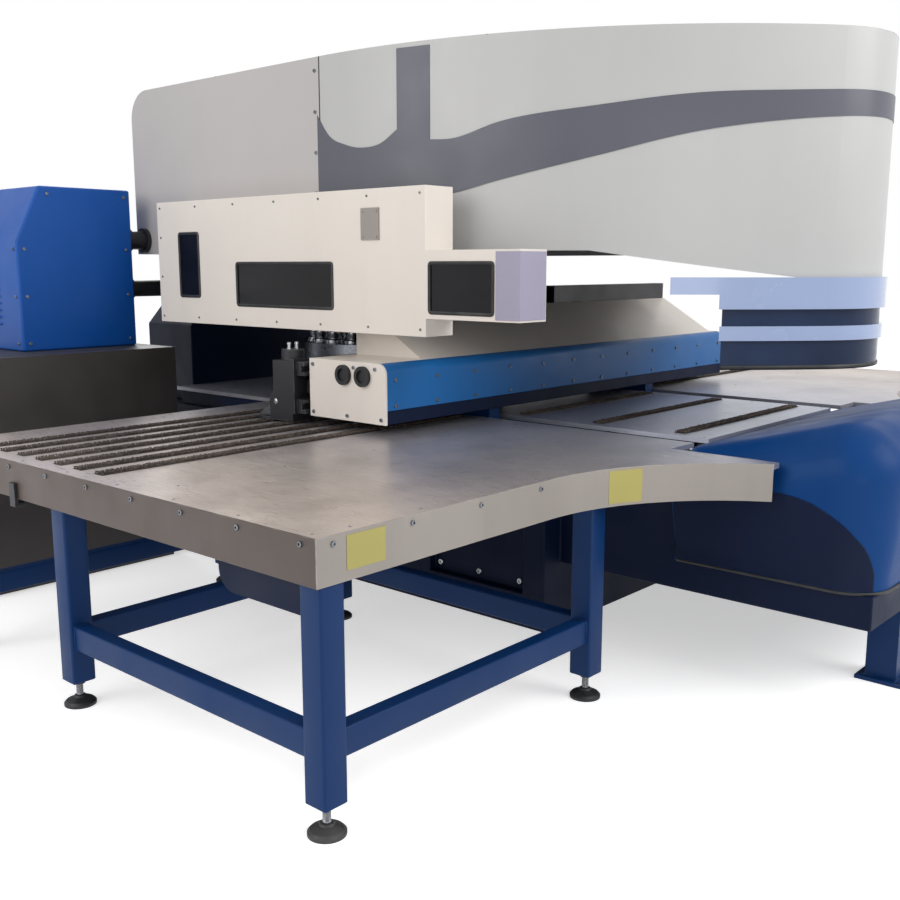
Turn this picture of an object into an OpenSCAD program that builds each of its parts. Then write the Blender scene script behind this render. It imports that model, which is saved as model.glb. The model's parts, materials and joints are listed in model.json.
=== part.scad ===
// Turret punch press with two side tables, a cross beam that moves the sheet and a swept casing.
// Millimetres. X runs along the width, Y to the rear, Z up, from the floor under the middle.

/* [Floor plan] */
// Half of the depth, from the middle to the front nose and to the cabinet's door handle
half_depth = 2325; // [2250:5:2400]
// Distance from the middle to the outer rows of legs
leg_row_x = 2750; // [2600:5:3000]
// Distance from the middle to the inner rows of legs
inner_leg_x = 1447; // [1300:1:1600]
// Distance from the middle to the front legs
front_leg_y = 1425; // [1350:5:1450]
// Place of the middle legs along Y
mid_leg_y = -55; // [-200:5:100]
// Place of the rear legs along Y
rear_leg_y = 800; // [600:5:820]

/* [Side tables] */
// Height of the pass line, where the sheet runs
pass_z = 912; // [890:1:930]
// Room between the brush tips and the sheet for the clamps' lower jaws
jaw_room = 8; // [6:1:12]
// Height of the brush tips above the table plate
brush_rise = 10; // [6:1:14]
// Thickness of the table plate
plate_t = 20; // [16:1:26]
// Width of the square leg tube
leg_w = 90; // [70:1:100]
// Wall of the leg tube
leg_wall = 5; // [3:0.5:8]
// Height of the lower rails above the floor
rail_z = 225; // [180:5:300]
// Height of a lower rail
rail_h = 90; // [60:1:110]
// Width of a lower rail
rail_w = 60; // [40:1:70]
// Height of the aprons round the tables
apron_h = 140; // [110:1:170]
// Thickness of the apron sheet
apron_t = 4; // [2:0.5:8]
// Radius of the sweep in the front edge of the tables
sweep_r = 850; // [750:5:900]
// Place along X where the straight front edge ends
sweep_x = 1750; // [1700:5:1800]
// Rear edge of the side tables along Y
table_rear_y = 875; // [850:5:950]

/* [Brushes] */
// Distance between brush rows
brush_pitch = 140; // [110:5:180]
// Width of a brush block
brush_w = 60; // [40:1:80]
// Depth that a brush block sinks into the plate
brush_sink = 12; // [8:1:14]
// Number of brush rows in the centre table
centre_rows = 5; // [3:1:5]

/* [Feet] */
// Radius of a levelling foot
foot_r = 58; // [45:1:65]
// Height of the leg's lower end above the floor
foot_h = 95; // [80:1:120]
// Radius of a foot's threaded stem
stem_r = 12; // [8:0.5:16]

/* [Base and column] */
// Half width of the base block
base_w = 1000; // [960:5:1050]
// Height of the base block
base_h = 790; // [770:1:800]
// Clearance under the raised front of the base
base_lift = 300; // [250:5:350]
// Half width of the raised front of the base
front_base_w = 880; // [850:5:920]
// Height of the front housing above the floor, at its front
nose_top = 1040; // [950:5:1060]
// Half width of the front housing
nose_w = 950; // [930:5:990]
// Rounding of the front housing
nose_r = 200; // [120:5:210]
// Height of the upper arm's underside
arm_z = 1400; // [1380:5:1450]
// Height of the upper arm's top
arm_top = 2250; // [2100:5:2300]
// Half width of the upper arm
arm_w = 600; // [550:5:650]

/* [Casing] */
// Height of the casing's roof
roof_z = 2550; // [2450:5:2650]
// Half width of the casing
casing_w = 1230; // [1180:5:1280]
// Place along Y where the straight walls end and the swept front starts
tangent_y = 255; // [200:5:300]
// Place of the casing's rear wall
casing_rear_y = 1825; // [1780:1:1835]
// Distance from the middle to the point where the two swept walls would meet
ogive_y = 1980; // [1900:5:2050]
// Radius of the rounded front of the casing
bow_r = 400; // [300:5:500]
// Thickness of the casing sheet
casing_t = 6; // [3:1:10]
// Height of the casing's lower edge
skirt_z = 1670; // [1640:5:1700]
// Height of the lower edge at the very front
bow_skirt_z = 1535; // [1500:5:1600]
// Height of the guard pane's lower edge
pane_z = 1180; // [1150:5:1250]
// Thickness of the dark stripe panel
stripe_t = 3; // [2:0.5:5]

/* [Side housing] */
// Height of the housing's underside
housing_z = 1315; // [1280:5:1340]
// Height of the housing's top
housing_top = 1930; // [1850:5:2000]
// Height of the underside of the lower box at the housing's front
nose_box_z = 1390; // [1350:5:1400]
// Height of that box
nose_box_h = 280; // [250:5:330]
// Depth of the housing out from the casing wall
housing_d = 170; // [120:5:200]
// Wall of the housing
housing_t = 5; // [3:0.5:8]

/* [Cross beam] */
// Half length of the beam
beam_l = 1500; // [1400:5:1550]
// Depth of the beam along Y
beam_d = 500; // [440:5:520]
// Place of the beam's middle along Y, at rest
beam_y = -175; // [-220:5:-150]
// Height of the beam's underside
beam_z = 940; // [935:1:960]
// Height of the beam's top cover
beam_top = 1200; // [1160:5:1220]
// Wall of the beam's box section
beam_wall = 12; // [8:1:16]
// Thickness of the beam's covers
cover_t = 6; // [3:0.5:10]
// Radius of the beam's rounded upper front edge
beam_round = 46; // [30:1:60]
// Height of the raised cover above the beam's top
raise_h = 200; // [150:5:220]

/* [Guides] */
// Distance from the middle to the guide rails of the beam
guide_x = 710; // [700:1:720]
// Width of a guide rail
guide_w = 34; // [28:1:45]
// Height of a guide rail
guide_h = 30; // [24:1:34]
// Running gap between a rail and its block
guide_gap = 0.3; // [0.2:0.05:0.5]
// Radius of the drive screws
screw_r = 20; // [14:0.5:22]

/* [Clamps] */
// Distance between neighbouring clamps
clamp_pitch = 700; // [600:5:720]
// Width of a clamp
clamp_w = 130; // [100:1:150]
// Radius of a jaw's pivot pin
jaw_pin_r = 8; // [6:0.5:10]
// Radial running gap of the jaw on its pin
pin_gap = 0.06; // [0.03:0.01:0.1]

/* [Turret and ram] */
// Place of the turret axis along Y
turret_y = 1050; // [1040:5:1080]
// Radius of the turret discs
turret_r = 550; // [500:5:555]
// Number of stations in the ring
stations = 20; // [12:1:22]
// Radius of the ring of stations
station_ring_r = 450; // [430:1:460]
// Radius of a station's bore
station_r = 42; // [30:1:44]
// Radius of the turret shafts
shaft_r = 80; // [60:1:100]
// Radius of the ram
ram_r = 55; // [40:1:60]
// Radial running gap of shafts and ram
run_gap = 0.08; // [0.03:0.01:0.1]

/* [Rear unit] */
// Width of the electrical cabinet
cabinet_w = 1150; // [1000:5:1180]
// Height of the cabinet's top
cabinet_top = 1170; // [1100:5:1200]
// Place of the cabinet's right side, left of the middle
cabinet_x = 1300; // [1290:5:1340]
// Height of the drive hood's top
drive_top = 2010; // [1900:5:2050]
// Width of the drive hood
drive_w = 660; // [600:5:720]
// Length of the short pipe between the drive hood and the casing
pipe_reach = 130; // [100:5:160]

/* [Hidden] */
$fn = 96;
e = 1;
brush_top = pass_z - jaw_room;
plate_top = brush_top - brush_rise;
plate_z = plate_top - plate_t;
table_x = leg_row_x + leg_w / 2 + 15;
table_y = front_leg_y + leg_w / 2 + 5;
apron_z = plate_top - apron_h;
top_rail_h = 80;
top_rail_w = 50;
top_rail_z = plate_z - top_rail_h;
leg_ys = [-front_leg_y, mid_leg_y, rear_leg_y];
slot_w = 120;
slot_x = guide_x + slot_w / 2;
slot_in_x = guide_x - slot_w / 2;
centre_w = slot_in_x - 5;
centre_rear_y = turret_y - turret_r - 15;
deck_rear_y = 1845;
nose_rear_y = table_y + 10;
nose_y = half_depth;
nose_z = 430;
base_front_y = 895;
nose_rear_top = plate_top - 20;
pedestal_x = 500;
pedestal_half = 60;
pedestal_y = -nose_y + 55 + pedestal_half;
foot_plate_half = 90;
foot_plate_t = 15;
anchor_r = 9;
anchor_pitch = 140;
base_rear_y = half_depth - 15;
column_y = 1850;
bearer_w = 60;
casing_r = (pow(ogive_y + tangent_y, 2) + casing_w * casing_w) / (2 * casing_w);
swing_x = casing_r - casing_w;
bow_y = tangent_y - sqrt(pow(casing_r - bow_r, 2) - swing_x * swing_x);
bow_cut_y = tangent_y + (bow_y - tangent_y) * casing_r / (casing_r - bow_r);
beam_front_y = beam_y - beam_d / 2;
beam_rear_y = beam_y + beam_d / 2;
tube_y0 = beam_front_y + cover_t;
tube_y1 = beam_rear_y - 20;
tube_top = beam_top - cover_t;
tube_l = beam_l - 2 * cover_t;
carriage_y = tube_y1 + 62;
carriage_t = 25;
clamp_y = carriage_y + carriage_t;
edge_y = beam_front_y + beam_round;
raise_y0 = beam_front_y + 65;
raise_y1 = tube_y1 - 85;
raise_z = beam_top + raise_h;
raise_x0 = -casing_w + 20;
raise_x1 = beam_l - 60;
trough_d = 75;
socket_ys = [beam_y - 118, beam_y + 2];
socket_z = beam_top - 60;
socket_r = 36;
trim_end_y = -1320;
pane_end_y = -1478;
clamp_xs = [for (i = [0:2]) -beam_l + 35 + i * clamp_pitch];
carriage_x0 = clamp_xs[0] - clamp_w / 2 - 10;
carriage_x1 = clamp_xs[2] + clamp_w / 2 + 10;
pivot_y = clamp_y + 120;
pivot_z = pass_z + 78;
nose_reach = 262;
jaw_gap = 1.6;
x_guide_zs = [beam_z + 40, beam_top - 50];
x_screw_z = (x_guide_zs[0] + x_guide_zs[1]) / 2;
x_screw_y = tube_y1 + 34;
y_screw_x = 590;
y_screw_z = base_h + 40;
saddle_z = base_h + guide_h + 24;
ram_y = turret_y - station_ring_r;
upper_disc_z = pass_z + 130;
lower_disc_z = pass_z - 190;
disc_t = 120;
punch_z = pass_z + 85;
die_top = pass_z - 2;
ram_z = upper_disc_z + disc_t + 100;
cabinet_y0 = 1400;
cabinet_y1 = half_depth - 50;
cabinet_t = 12;
plinth_h = 60;
door_t = 20;
hinge_pin_r = 6;
hinge_x = -cabinet_x - cabinet_w - 14;
hinge_y = cabinet_y1 + 10;
hinge_zs = [plinth_h + 120, cabinet_top - 190];
handle_x = -cabinet_x - 60;
handle_z = (plinth_h + cabinet_top) / 2;
drive_x1 = -casing_w - pipe_reach;
drive_y0 = cabinet_y0 + 275;

// A block between two opposite corners
module block(a, b) {
    translate(a)
        cube(b - a);
}

// The same thing on the left and on the right
module both() {
    children();
    mirror([1, 0, 0])
        children();
}

// A flat shape drawn with depth along its first axis and height along its second,
// carried along X from x0 to x1
module along_x(x0, x1) {
    translate([x0, 0, 0])
        rotate([90, 0, 90])
            linear_extrude(x1 - x0)
                children();
}

// A flat shape drawn in width and height, carried along Y from y0 to y1
module along_y(y0, y1) {
    translate([0, y1, 0])
        rotate([90, 0, 0])
            linear_extrude(y1 - y0)
                children();
}

// Square leg tube with a bottom plate that takes the foot's stem
module leg() {
    leg_top = plate_z - foot_h;
    difference() {
        translate([-leg_w / 2, -leg_w / 2, foot_h])
            cube([leg_w, leg_w, leg_top]);
        translate([-leg_w / 2 + leg_wall, -leg_w / 2 + leg_wall, foot_h + 12])
            cube([leg_w - 2 * leg_wall, leg_w - 2 * leg_wall, leg_top]);
        translate([0, 0, foot_h - e])
            cylinder(h = 14, r = stem_r + 0.2);
    }
}

module table_legs() {
    color("#16396b")
        both()
            for (x = [-leg_row_x, -inner_leg_x])
                for (y = leg_ys)
                    translate([x, y, 0])
                        leg();
}

// Round foot with a dished pad, a lock nut and a stem
module foot() {
    rotate_extrude()
        polygon([[0, 0], [foot_r, 0], [foot_r, 10], [foot_r - 8, 18], [stem_r + 12, 30],
            [stem_r + 8, 36], [stem_r, 40], [stem_r, foot_h + 60], [0, foot_h + 60]]);
    translate([0, 0, foot_h - 14])
        cylinder(h = 14, r = stem_r * 1.9, $fn = 6);
}

module levelling_feet() {
    color("#17181a")
        both()
            for (x = [-leg_row_x, -inner_leg_x])
                for (y = leg_ys)
                    translate([x, y, 0])
                        foot();
}

// Lower rails join the front four legs, and one more joins the rear pair
module lower_rails() {
    in = leg_w / 2;
    color("#14315c")
        both() {
            for (x = [-leg_row_x, -inner_leg_x])
                block([x - rail_w / 2, -front_leg_y + in, rail_z],
                    [x + rail_w / 2, mid_leg_y - in, rail_z + rail_h]);
            for (y = leg_ys)
                block([-leg_row_x + in, y - rail_w / 2, rail_z],
                    [-inner_leg_x - in, y + rail_w / 2, rail_z + rail_h]);
        }
}

// Rails between the leg tops carry the table plate
module table_top_rails() {
    in = leg_w / 2;
    top = plate_z;
    color("#14315c")
        both() {
            for (x = [-leg_row_x, -inner_leg_x]) {
                block([x - top_rail_w / 2, -front_leg_y + in, top_rail_z],
                    [x + top_rail_w / 2, mid_leg_y - in, top]);
                block([x - top_rail_w / 2, mid_leg_y + in, top_rail_z],
                    [x + top_rail_w / 2, rear_leg_y - in, top]);
            }
            for (y = leg_ys)
                block([-leg_row_x + in, y - top_rail_w / 2, top_rail_z],
                    [-inner_leg_x - in, y + top_rail_w / 2, top]);
        }
}

// Knee with a rounded corner between each front outer leg and the rail above it
module knee_braces() {
    reach = 400;
    drop = 150;
    corner = 70;
    thick = 40;
    y0 = -front_leg_y + leg_w / 2;
    color("#14264a")
        both()
            along_x(-leg_row_x - thick / 2, -leg_row_x + thick / 2)
                translate([y0, top_rail_z - drop]) {
                    square([reach - corner, drop]);
                    translate([0, corner])
                        square([reach, drop - corner]);
                    translate([reach - corner, corner])
                        circle(r = corner);
                }
}

// Plan of a left side table: straight front, a concave sweep towards the nose,
// a notch beside the beam's slot and a round cut round the turret
module table_plan() {
    difference() {
        union() {
            translate([-table_x, -table_y])
                square([table_x - slot_x, table_y + table_rear_y]);
            translate([-base_w, centre_rear_y + 5])
                square([base_w - 5, deck_rear_y - centre_rear_y - 5]);
            translate([-sweep_x, -table_y - sweep_r])
                square([sweep_x - nose_w - 5, sweep_r + e]);
        }
        translate([-sweep_x, -table_y - sweep_r])
            circle(r = sweep_r, $fn = 160);
        translate([-sweep_x - e, -table_y - 2 * sweep_r])
            square([sweep_x, 2 * sweep_r - 450]);
        translate([0, turret_y])
            circle(r = turret_r + 12, $fn = 160);
    }
}

brush_x0 = table_x - 70;
brush_x1 = slot_x + 60;
brush_y0 = -285;
brush_rows = floor((table_rear_y - 50 - brush_y0) / brush_pitch);
centre_row_y = -table_y + 140;
centre_pitch = (centre_rear_y - 120 - centre_row_y) / (centre_rows - 1);

module brush_pockets() {
    for (i = [0:brush_rows - 1])
        translate([-brush_x0, brush_y0 + i * brush_pitch, plate_top - brush_sink])
            cube([brush_x0 - brush_x1, brush_w, brush_sink + e]);
}

module table_plate() {
    difference() {
        translate([0, 0, plate_z])
            linear_extrude(plate_t)
                table_plan();
        brush_pockets();
    }
}

module side_table_left() {
    color("#a89c92")
        table_plate();
}

module side_table_right() {
    color("#a89c92")
        mirror([1, 0, 0])
            table_plate();
}

// Brush block: a flat holder with a crowned ridge of bristles
module brush_profile(width) {
    gap = 0.3;
    crown = 70;
    square([width - 2 * gap, brush_sink]);
    intersection() {
        translate([width * 0.1, brush_sink - e])
            square([width * 0.8 - 2 * gap, brush_rise + e]);
        translate([width / 2 - gap, brush_sink + brush_rise - crown])
            circle(r = crown, $fn = 64);
    }
}

// All brush rows: those of both side tables and those of the centre table
module brush_strips() {
    z = plate_top - brush_sink;
    color("#3a302b") {
        both()
            for (i = [0:brush_rows - 1])
                translate([0, brush_y0 + i * brush_pitch + 0.3, z])
                    along_x(-brush_x0 + 0.3, -brush_x1 - 0.3)
                        brush_profile(brush_w);
        for (i = [0:centre_rows - 1])
            translate([0, centre_row_y + i * centre_pitch + 0.3, z])
                along_x(-centre_w + 60.3, centre_w - 60.3)
                    brush_profile(brush_w);
    }
}

// Dark apron along the outer side and the rear of each table
module side_aprons() {
    color("#4b3f3b")
        both()
            difference() {
                block([-table_x - apron_t, -table_y, apron_z],
                    [-base_w - 1, table_rear_y + apron_t, plate_top]);
                block([-table_x, -table_y - e, apron_z - e],
                    [0, table_rear_y, plate_top + e]);
            }
}

// Ring sector that follows the swept front edge
module sweep_arc(inner, outer) {
    intersection() {
        translate([-sweep_x, -table_y - sweep_r])
            difference() {
                circle(r = sweep_r + inner, $fn = 160);
                circle(r = sweep_r - outer, $fn = 160);
            }
        translate([-sweep_x, -table_y - 450])
            square([sweep_x - nose_w - 5, 450 + apron_t + e]);
    }
}

// Front apron: a straight sheet that runs on into the sweep
module front_apron() {
    translate([0, 0, apron_z])
        linear_extrude(apron_h) {
            translate([-table_x - apron_t, -table_y - apron_t])
                square([table_x + apron_t - sweep_x, apron_t]);
            sweep_arc(0, apron_t);
        }
}

module front_aprons() {
    color("#8f8a86")
        both()
            front_apron();
}

// Plain yellow fields on the front aprons
module apron_fields() {
    t = 1.5;
    color("#c9b838")
        both() {
            translate([-table_x + 105, -table_y - apron_t - t, apron_z + 30])
                cube([150, t, 100]);
            intersection() {
                translate([0, 0, apron_z + 10])
                    linear_extrude(122)
                        sweep_arc(-apron_t, apron_t + t);
                translate([-1475, -2000, 0])
                    cube([130, 1000, 1000]);
            }
        }
}

// Small hook under the outer apron of each table
module apron_hooks() {
    color("#1b1d22")
        both()
            translate([0, 190, 0])
                along_y(0, 40)
                    translate([-table_x - apron_t, 0])
                        polygon([[-0.2, apron_z + 60], [-14, apron_z + 60], [-14, apron_z - 30],
                            [30, apron_z - 30], [30, apron_z - 16], [-0.2, apron_z - 16]]);
}

module centre_table() {
    color("#b9b6b4")
        difference() {
            block([-centre_w, -table_y, plate_z], [centre_w, centre_rear_y, plate_top]);
            for (i = [0:centre_rows - 1])
                translate([-centre_w + 60, centre_row_y + i * centre_pitch, plate_top - brush_sink])
                    cube([2 * centre_w - 120, brush_w, brush_sink + e]);
            translate([0, turret_y, plate_z - e])
                cylinder(h = plate_t + 2 * e, r = turret_r + 12);
        }
}

// Bars on the base that carry the inner parts of the tables
module table_bearers() {
    color("#14264a") {
        for (x = [-450, 450])
            block([x - bearer_w / 2, -table_y + 10, base_h],
                [x + bearer_w / 2, centre_rear_y - 40, plate_z]);
        both()
            block([-base_w + 20, -base_front_y + 20, base_h],
                [-base_w + 20 + bearer_w, deck_rear_y - 20, plate_z]);
    }
}

// Base: a floor-standing block with a raised front that runs under the front housing
module base_frame() {
    recess = 40;
    color("#0f1f3d")
        difference() {
            union() {
                block([-base_w, -base_front_y, 0], [base_w, base_rear_y, base_h]);
                block([-front_base_w, -nose_rear_y, base_lift],
                    [front_base_w, -base_front_y + e, base_h]);
                block([-front_base_w, -nose_y + 55, base_lift],
                    [front_base_w, -nose_rear_y + e, nose_z]);
            }
            translate([0, turret_y, lower_disc_z - 40])
                cylinder(h = base_h, r = turret_r + 12);
            translate([0, turret_y, 0])
                translate([0, 0, base_h - 320])
                    cylinder(h = 320, r = shaft_r + run_gap);
            for (s = [-1, 1])
                for (y = [-base_front_y + 120, 500, 1450])
                    translate([s * base_w - recess, y, 160])
                        cube([2 * recess, 560, 440]);
        }
}

// Square posts with foot plates under the raised front
module pedestals() {
    color("#1b4f94")
        both()
            translate([-pedestal_x, pedestal_y, 0]) {
                block([-pedestal_half, -pedestal_half, foot_plate_t - e],
                    [pedestal_half, pedestal_half, base_lift]);
                difference() {
                    block([-foot_plate_half, -foot_plate_half, 0],
                        [foot_plate_half, foot_plate_half, foot_plate_t]);
                    for (x = [-anchor_pitch / 2, anchor_pitch / 2])
                        for (y = [-anchor_pitch / 2, anchor_pitch / 2])
                            translate([x, y, -e])
                                cylinder(h = foot_plate_t + 2 * e, r = anchor_r);
                }
            }
}

// Front housing: rounded all round, with a top that rises from the table to its front
module front_housing() {
    w = nose_w - nose_r;
    foot_t = 60;
    front = [-nose_y + nose_r, nose_top - nose_r];
    rear = [-nose_rear_y, nose_rear_top - nose_r];
    color("#1c5aa6")
        intersection() {
            hull()
                for (x = [-w, w])
                    for (end = [front, rear]) {
                        translate([x, end[0], end[1]])
                            sphere(r = nose_r, $fn = 40);
                        translate([x, end[0], nose_z])
                            cylinder(h = foot_t, r = nose_r * 0.8, $fn = 40);
                    }
            block([-nose_w - e, -nose_y - e, nose_z], [nose_w + e, -nose_rear_y, nose_top + e]);
        }
}

// Rear column: wide at its foot, narrower where it meets the arm
module rear_column() {
    foot_w = 880;
    color("#0f1f3d")
        along_y(column_y, base_rear_y)
            polygon([[-foot_w, base_h], [foot_w, base_h], [foot_w, 1250], [arm_w, 1560],
                [arm_w, arm_top], [-arm_w, arm_top], [-arm_w, 1560], [-foot_w, 1250]]);
}

// Upper arm: a deep box with a raked front, bored for the turret shaft and the ram
module upper_arm() {
    y0 = ram_y - 240;
    color("#12284d")
        difference() {
            along_x(-arm_w, arm_w)
                polygon([[y0, arm_z], [column_y, arm_z], [column_y, arm_top],
                    [y0 + 260, arm_top], [y0, arm_top - 320]]);
            translate([0, turret_y, arm_z - e])
                cylinder(h = 260, r = shaft_r + run_gap);
            translate([0, ram_y, arm_z - e])
                cylinder(h = 400, r = ram_r + run_gap);
            for (s = [-1, 1])
                translate([s * arm_w - 60, ram_y + 260, arm_z + 200])
                    cube([120, 700, 380]);
        }
}

// Plan of the casing: straight walls, two swept walls of one large radius and a round bow.
// in is how far the outline lies inside the outer face
module casing_plan(in = 0) {
    r = casing_r - in;
    translate([-casing_w + in, tangent_y])
        square([2 * (casing_w - in), casing_rear_y - in - tangent_y]);
    intersection() {
        translate([swing_x, tangent_y])
            circle(r = r, $fn = 360);
        translate([-swing_x, tangent_y])
            circle(r = r, $fn = 360);
        translate([-casing_w + in, bow_cut_y])
            square([2 * (casing_w - in), tangent_y - bow_cut_y + e]);
    }
    translate([0, bow_y])
        circle(r = bow_r - in, $fn = 160);
}

// Side view of the casing: level lower edge that falls towards the bow, rounded rear top corner
module casing_side(in = 0) {
    corner = 150;
    top = roof_z - in;
    y0 = -ogive_y - 50;
    level_y = -1850;
    drop_y = -1025;
    polygon([[y0, bow_skirt_z], [level_y, bow_skirt_z], [drop_y, skirt_z],
        [casing_rear_y - in, skirt_z], [casing_rear_y - in, top - corner],
        [casing_rear_y - in - corner, top], [y0, top]]);
    translate([casing_rear_y - in - corner, top - corner])
        circle(r = corner, $fn = 64);
}

module casing_outer() {
    intersection() {
        translate([0, 0, bow_skirt_z - 50])
            linear_extrude(roof_z)
                casing_plan();
        along_x(-casing_w - e, casing_w + e)
            casing_side();
    }
}

module casing_inner() {
    intersection() {
        translate([0, 0, bow_skirt_z - 100])
            linear_extrude(roof_z)
                casing_plan(casing_t);
        along_x(-casing_w, casing_w)
            union() {
                casing_side(casing_t);
                translate([-ogive_y - 60, bow_skirt_z - 60])
                    square([ogive_y + 60 + casing_rear_y - casing_t, 400]);
            }
    }
}

module casing_shell() {
    difference() {
        casing_outer();
        casing_inner();
    }
}

module casing_rear() {
    color("#b3adad")
        difference() {
            intersection() {
                casing_shell();
                block([-casing_w - e, tangent_y, 0], [casing_w + e, casing_rear_y + e, roof_z + e]);
            }
            block([-arm_w - 5, casing_rear_y - 50, 0], [arm_w + 5, casing_rear_y + 50, arm_top + 5]);
        }
}

module casing_front() {
    color("#bcbcba")
        intersection() {
            casing_shell();
            block([-casing_w - e, -ogive_y - e, 0], [casing_w + e, tangent_y, roof_z + e]);
        }
}

// Posts between the arm and the casing's roof, with a cross bar on each pair
module casing_posts() {
    bar_h = 60;
    roof_in = roof_z - casing_t;
    color("#2a2d33")
        for (y = [ram_y + 100, column_y - 250]) {
            for (x = [-arm_w + 60, arm_w - 60])
                block([x - 30, y - 30, arm_top], [x + 30, y + 30, roof_in - bar_h]);
            block([-casing_w + casing_t, y - 30, roof_in - bar_h],
                [casing_w - casing_t, y + 30, roof_in]);
        }
}

// Dark stripe seen from the side: level at the rear, a rising bar and a long rising sweep
module stripe_side() {
    polygon([[tangent_y + 15, 1935], [-460, 1908], [-680, 1963], [-1060, 2054], [-1390, 2146],
        [-1685, 2190], [-1960, 2216], [-1960, 2314], [-1681, 2301], [-1385, 2289],
        [-1056, 2250], [-679, 2200], [-462, 2140], [-368, 2142], [-368, roof_z - 20],
        [-205, roof_z - 20], [-205, 2194], [-120, 2135], [-26, 2128], [95, 2149],
        [200, 2200], [tangent_y + 15, 2290]]);
}

// Stripe panel: one band on the casing's face that runs from side to side round the bow
module casing_stripe() {
    half = casing_w + 2 * stripe_t;
    color("#5c5c66")
        intersection() {
            difference() {
                translate([0, 0, skirt_z])
                    linear_extrude(roof_z - skirt_z)
                        casing_plan(-stripe_t);
                translate([0, 0, skirt_z - e])
                    linear_extrude(roof_z - skirt_z + 2 * e)
                        casing_plan();
            }
            along_x(-half, half)
                stripe_side();
        }
}

// Band that follows the casing plan between two heights in front of a given place
module bow_band(in, out, z0, z1, y_end) {
    difference() {
        translate([0, 0, z0])
            linear_extrude(z1 - z0)
                difference() {
                    casing_plan(-out);
                    casing_plan(in);
                }
        block([-casing_w - 50, y_end, z0 - e], [casing_w + 50, half_depth, z1 + e]);
    }
}

// Rounds of trim: a tall one at the lower front edge of the casing, a slim one on the guard pane
module visor_trim() {
    drop = 105;
    color("#2f74bd") {
        bow_band(0, 22, bow_skirt_z - 45, bow_skirt_z + 25, trim_end_y);
        bow_band(0, 22, bow_skirt_z - drop, bow_skirt_z - 45 + e, pane_end_y);
        bow_band(0, 14, pane_z + 120, pane_z + 180, pane_end_y);
    }
}

// Smoked guard pane that hangs under the bow, behind the trim
module visor_pane() {
    color("#23262d")
        bow_band(6, 0, pane_z, bow_skirt_z, pane_end_y);
}

housing_y0 = -565;
housing_y1 = 1360;
housing_nose_y = -1055;
window_z0 = 1415;
// Each opening's place along Y, its lower edge, its length and its height
windows = [[1000, 1450, 170, 320], [0, window_z0, 695, 205], [-925, window_z0, 340, 205]];

// Side view of the housing: tall rear part and a lower nose in front of it
module housing_side(in = 0) {
    translate([housing_y0 + in, housing_z + in])
        square([housing_y1 - housing_y0 - 2 * in, housing_top - housing_z - 2 * in]);
    translate([housing_nose_y + in, nose_box_z + in])
        square([housing_y0 - housing_nose_y + e, nose_box_h - 2 * in]);
}

// Outlines of the openings in the housing's outer wall
module housing_openings(gap = 0) {
    for (w = windows)
        translate([w[0] + gap, w[1] + gap])
            square([w[2] - 2 * gap, w[3] - 2 * gap]);
}

module side_housing() {
    x0 = -casing_w - housing_d;
    color("#ddd6cf")
        difference() {
            along_x(x0, -casing_w)
                housing_side();
            along_x(x0 + housing_t, -casing_w - housing_t)
                housing_side(housing_t);
            along_x(x0 - e, x0 + housing_t + e)
                housing_openings();
        }
}

module housing_windows() {
    x0 = -casing_w - housing_d;
    color("#191b22")
        along_x(x0 + 2, x0 + housing_t)
            housing_openings(0.3);
}

// Lilac cap round the end of the housing's lower box, over its side and its front
module housing_end_panel() {
    x0 = -casing_w - housing_d;
    x1 = -casing_w - 8;
    y0 = housing_nose_y;
    y1 = windows[2][0] - 12;
    t = 4;
    color("#9a94ad")
        translate([0, 0, nose_box_z + 8])
            linear_extrude(nose_box_h - 16)
                polygon([[x0 - t, y0 - t], [x1, y0 - t], [x1, y0], [x0, y0], [x0, y1],
                    [x0 - t, y1]]);
}

// Small grey cover with four screw heads
module housing_cover() {
    x0 = -casing_w - housing_d;
    color("#97938f") {
        along_x(x0 - 6, x0)
            translate([-300, 1715])
                square([110, 135]);
        for (y = [-286, -204])
            for (z = [1729, 1836])
                translate([x0 - 10, y, z])
                    rotate([0, 90, 0])
                        cylinder(h = 4, r = 5);
    }
}

// Outline of a guide rail: waisted, so that its block can't lift off
module guide_profile(gap = 0) {
    w = guide_w / 2 + gap;
    waist = guide_w / 2 - 6 + gap;
    polygon([[-w, 0], [w, 0], [w, guide_h * 0.3], [waist, guide_h * 0.45],
        [waist, guide_h * 0.6], [w, guide_h * 0.8], [w, guide_h + gap],
        [-w, guide_h + gap], [-w, guide_h * 0.8], [-waist, guide_h * 0.6],
        [-waist, guide_h * 0.45], [-w, guide_h * 0.3]]);
}

module y_guides() {
    color("#9a9da1")
        for (x = [-guide_x, guide_x])
            translate([x, 0, base_h])
                along_y(-table_y + 20, centre_rear_y - 40)
                    guide_profile();
}

block_len = 110;
block_w = 90;

// Guide block: a body grooved for the rail, standing on z = 0 like the rail
module guide_block() {
    difference() {
        translate([-block_w / 2, -block_len / 2, 8])
            cube([block_w, block_len, saddle_z - base_h - 8]);
        along_y(-block_len / 2 - e, block_len / 2 + e)
            guide_profile(guide_gap);
    }
}

module y_guide_blocks() {
    color("#6f7378")
        for (x = [-guide_x, guide_x])
            for (y = [beam_y - 150, beam_y + 150])
                translate([x, y, base_h])
                    guide_block();
}

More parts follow.
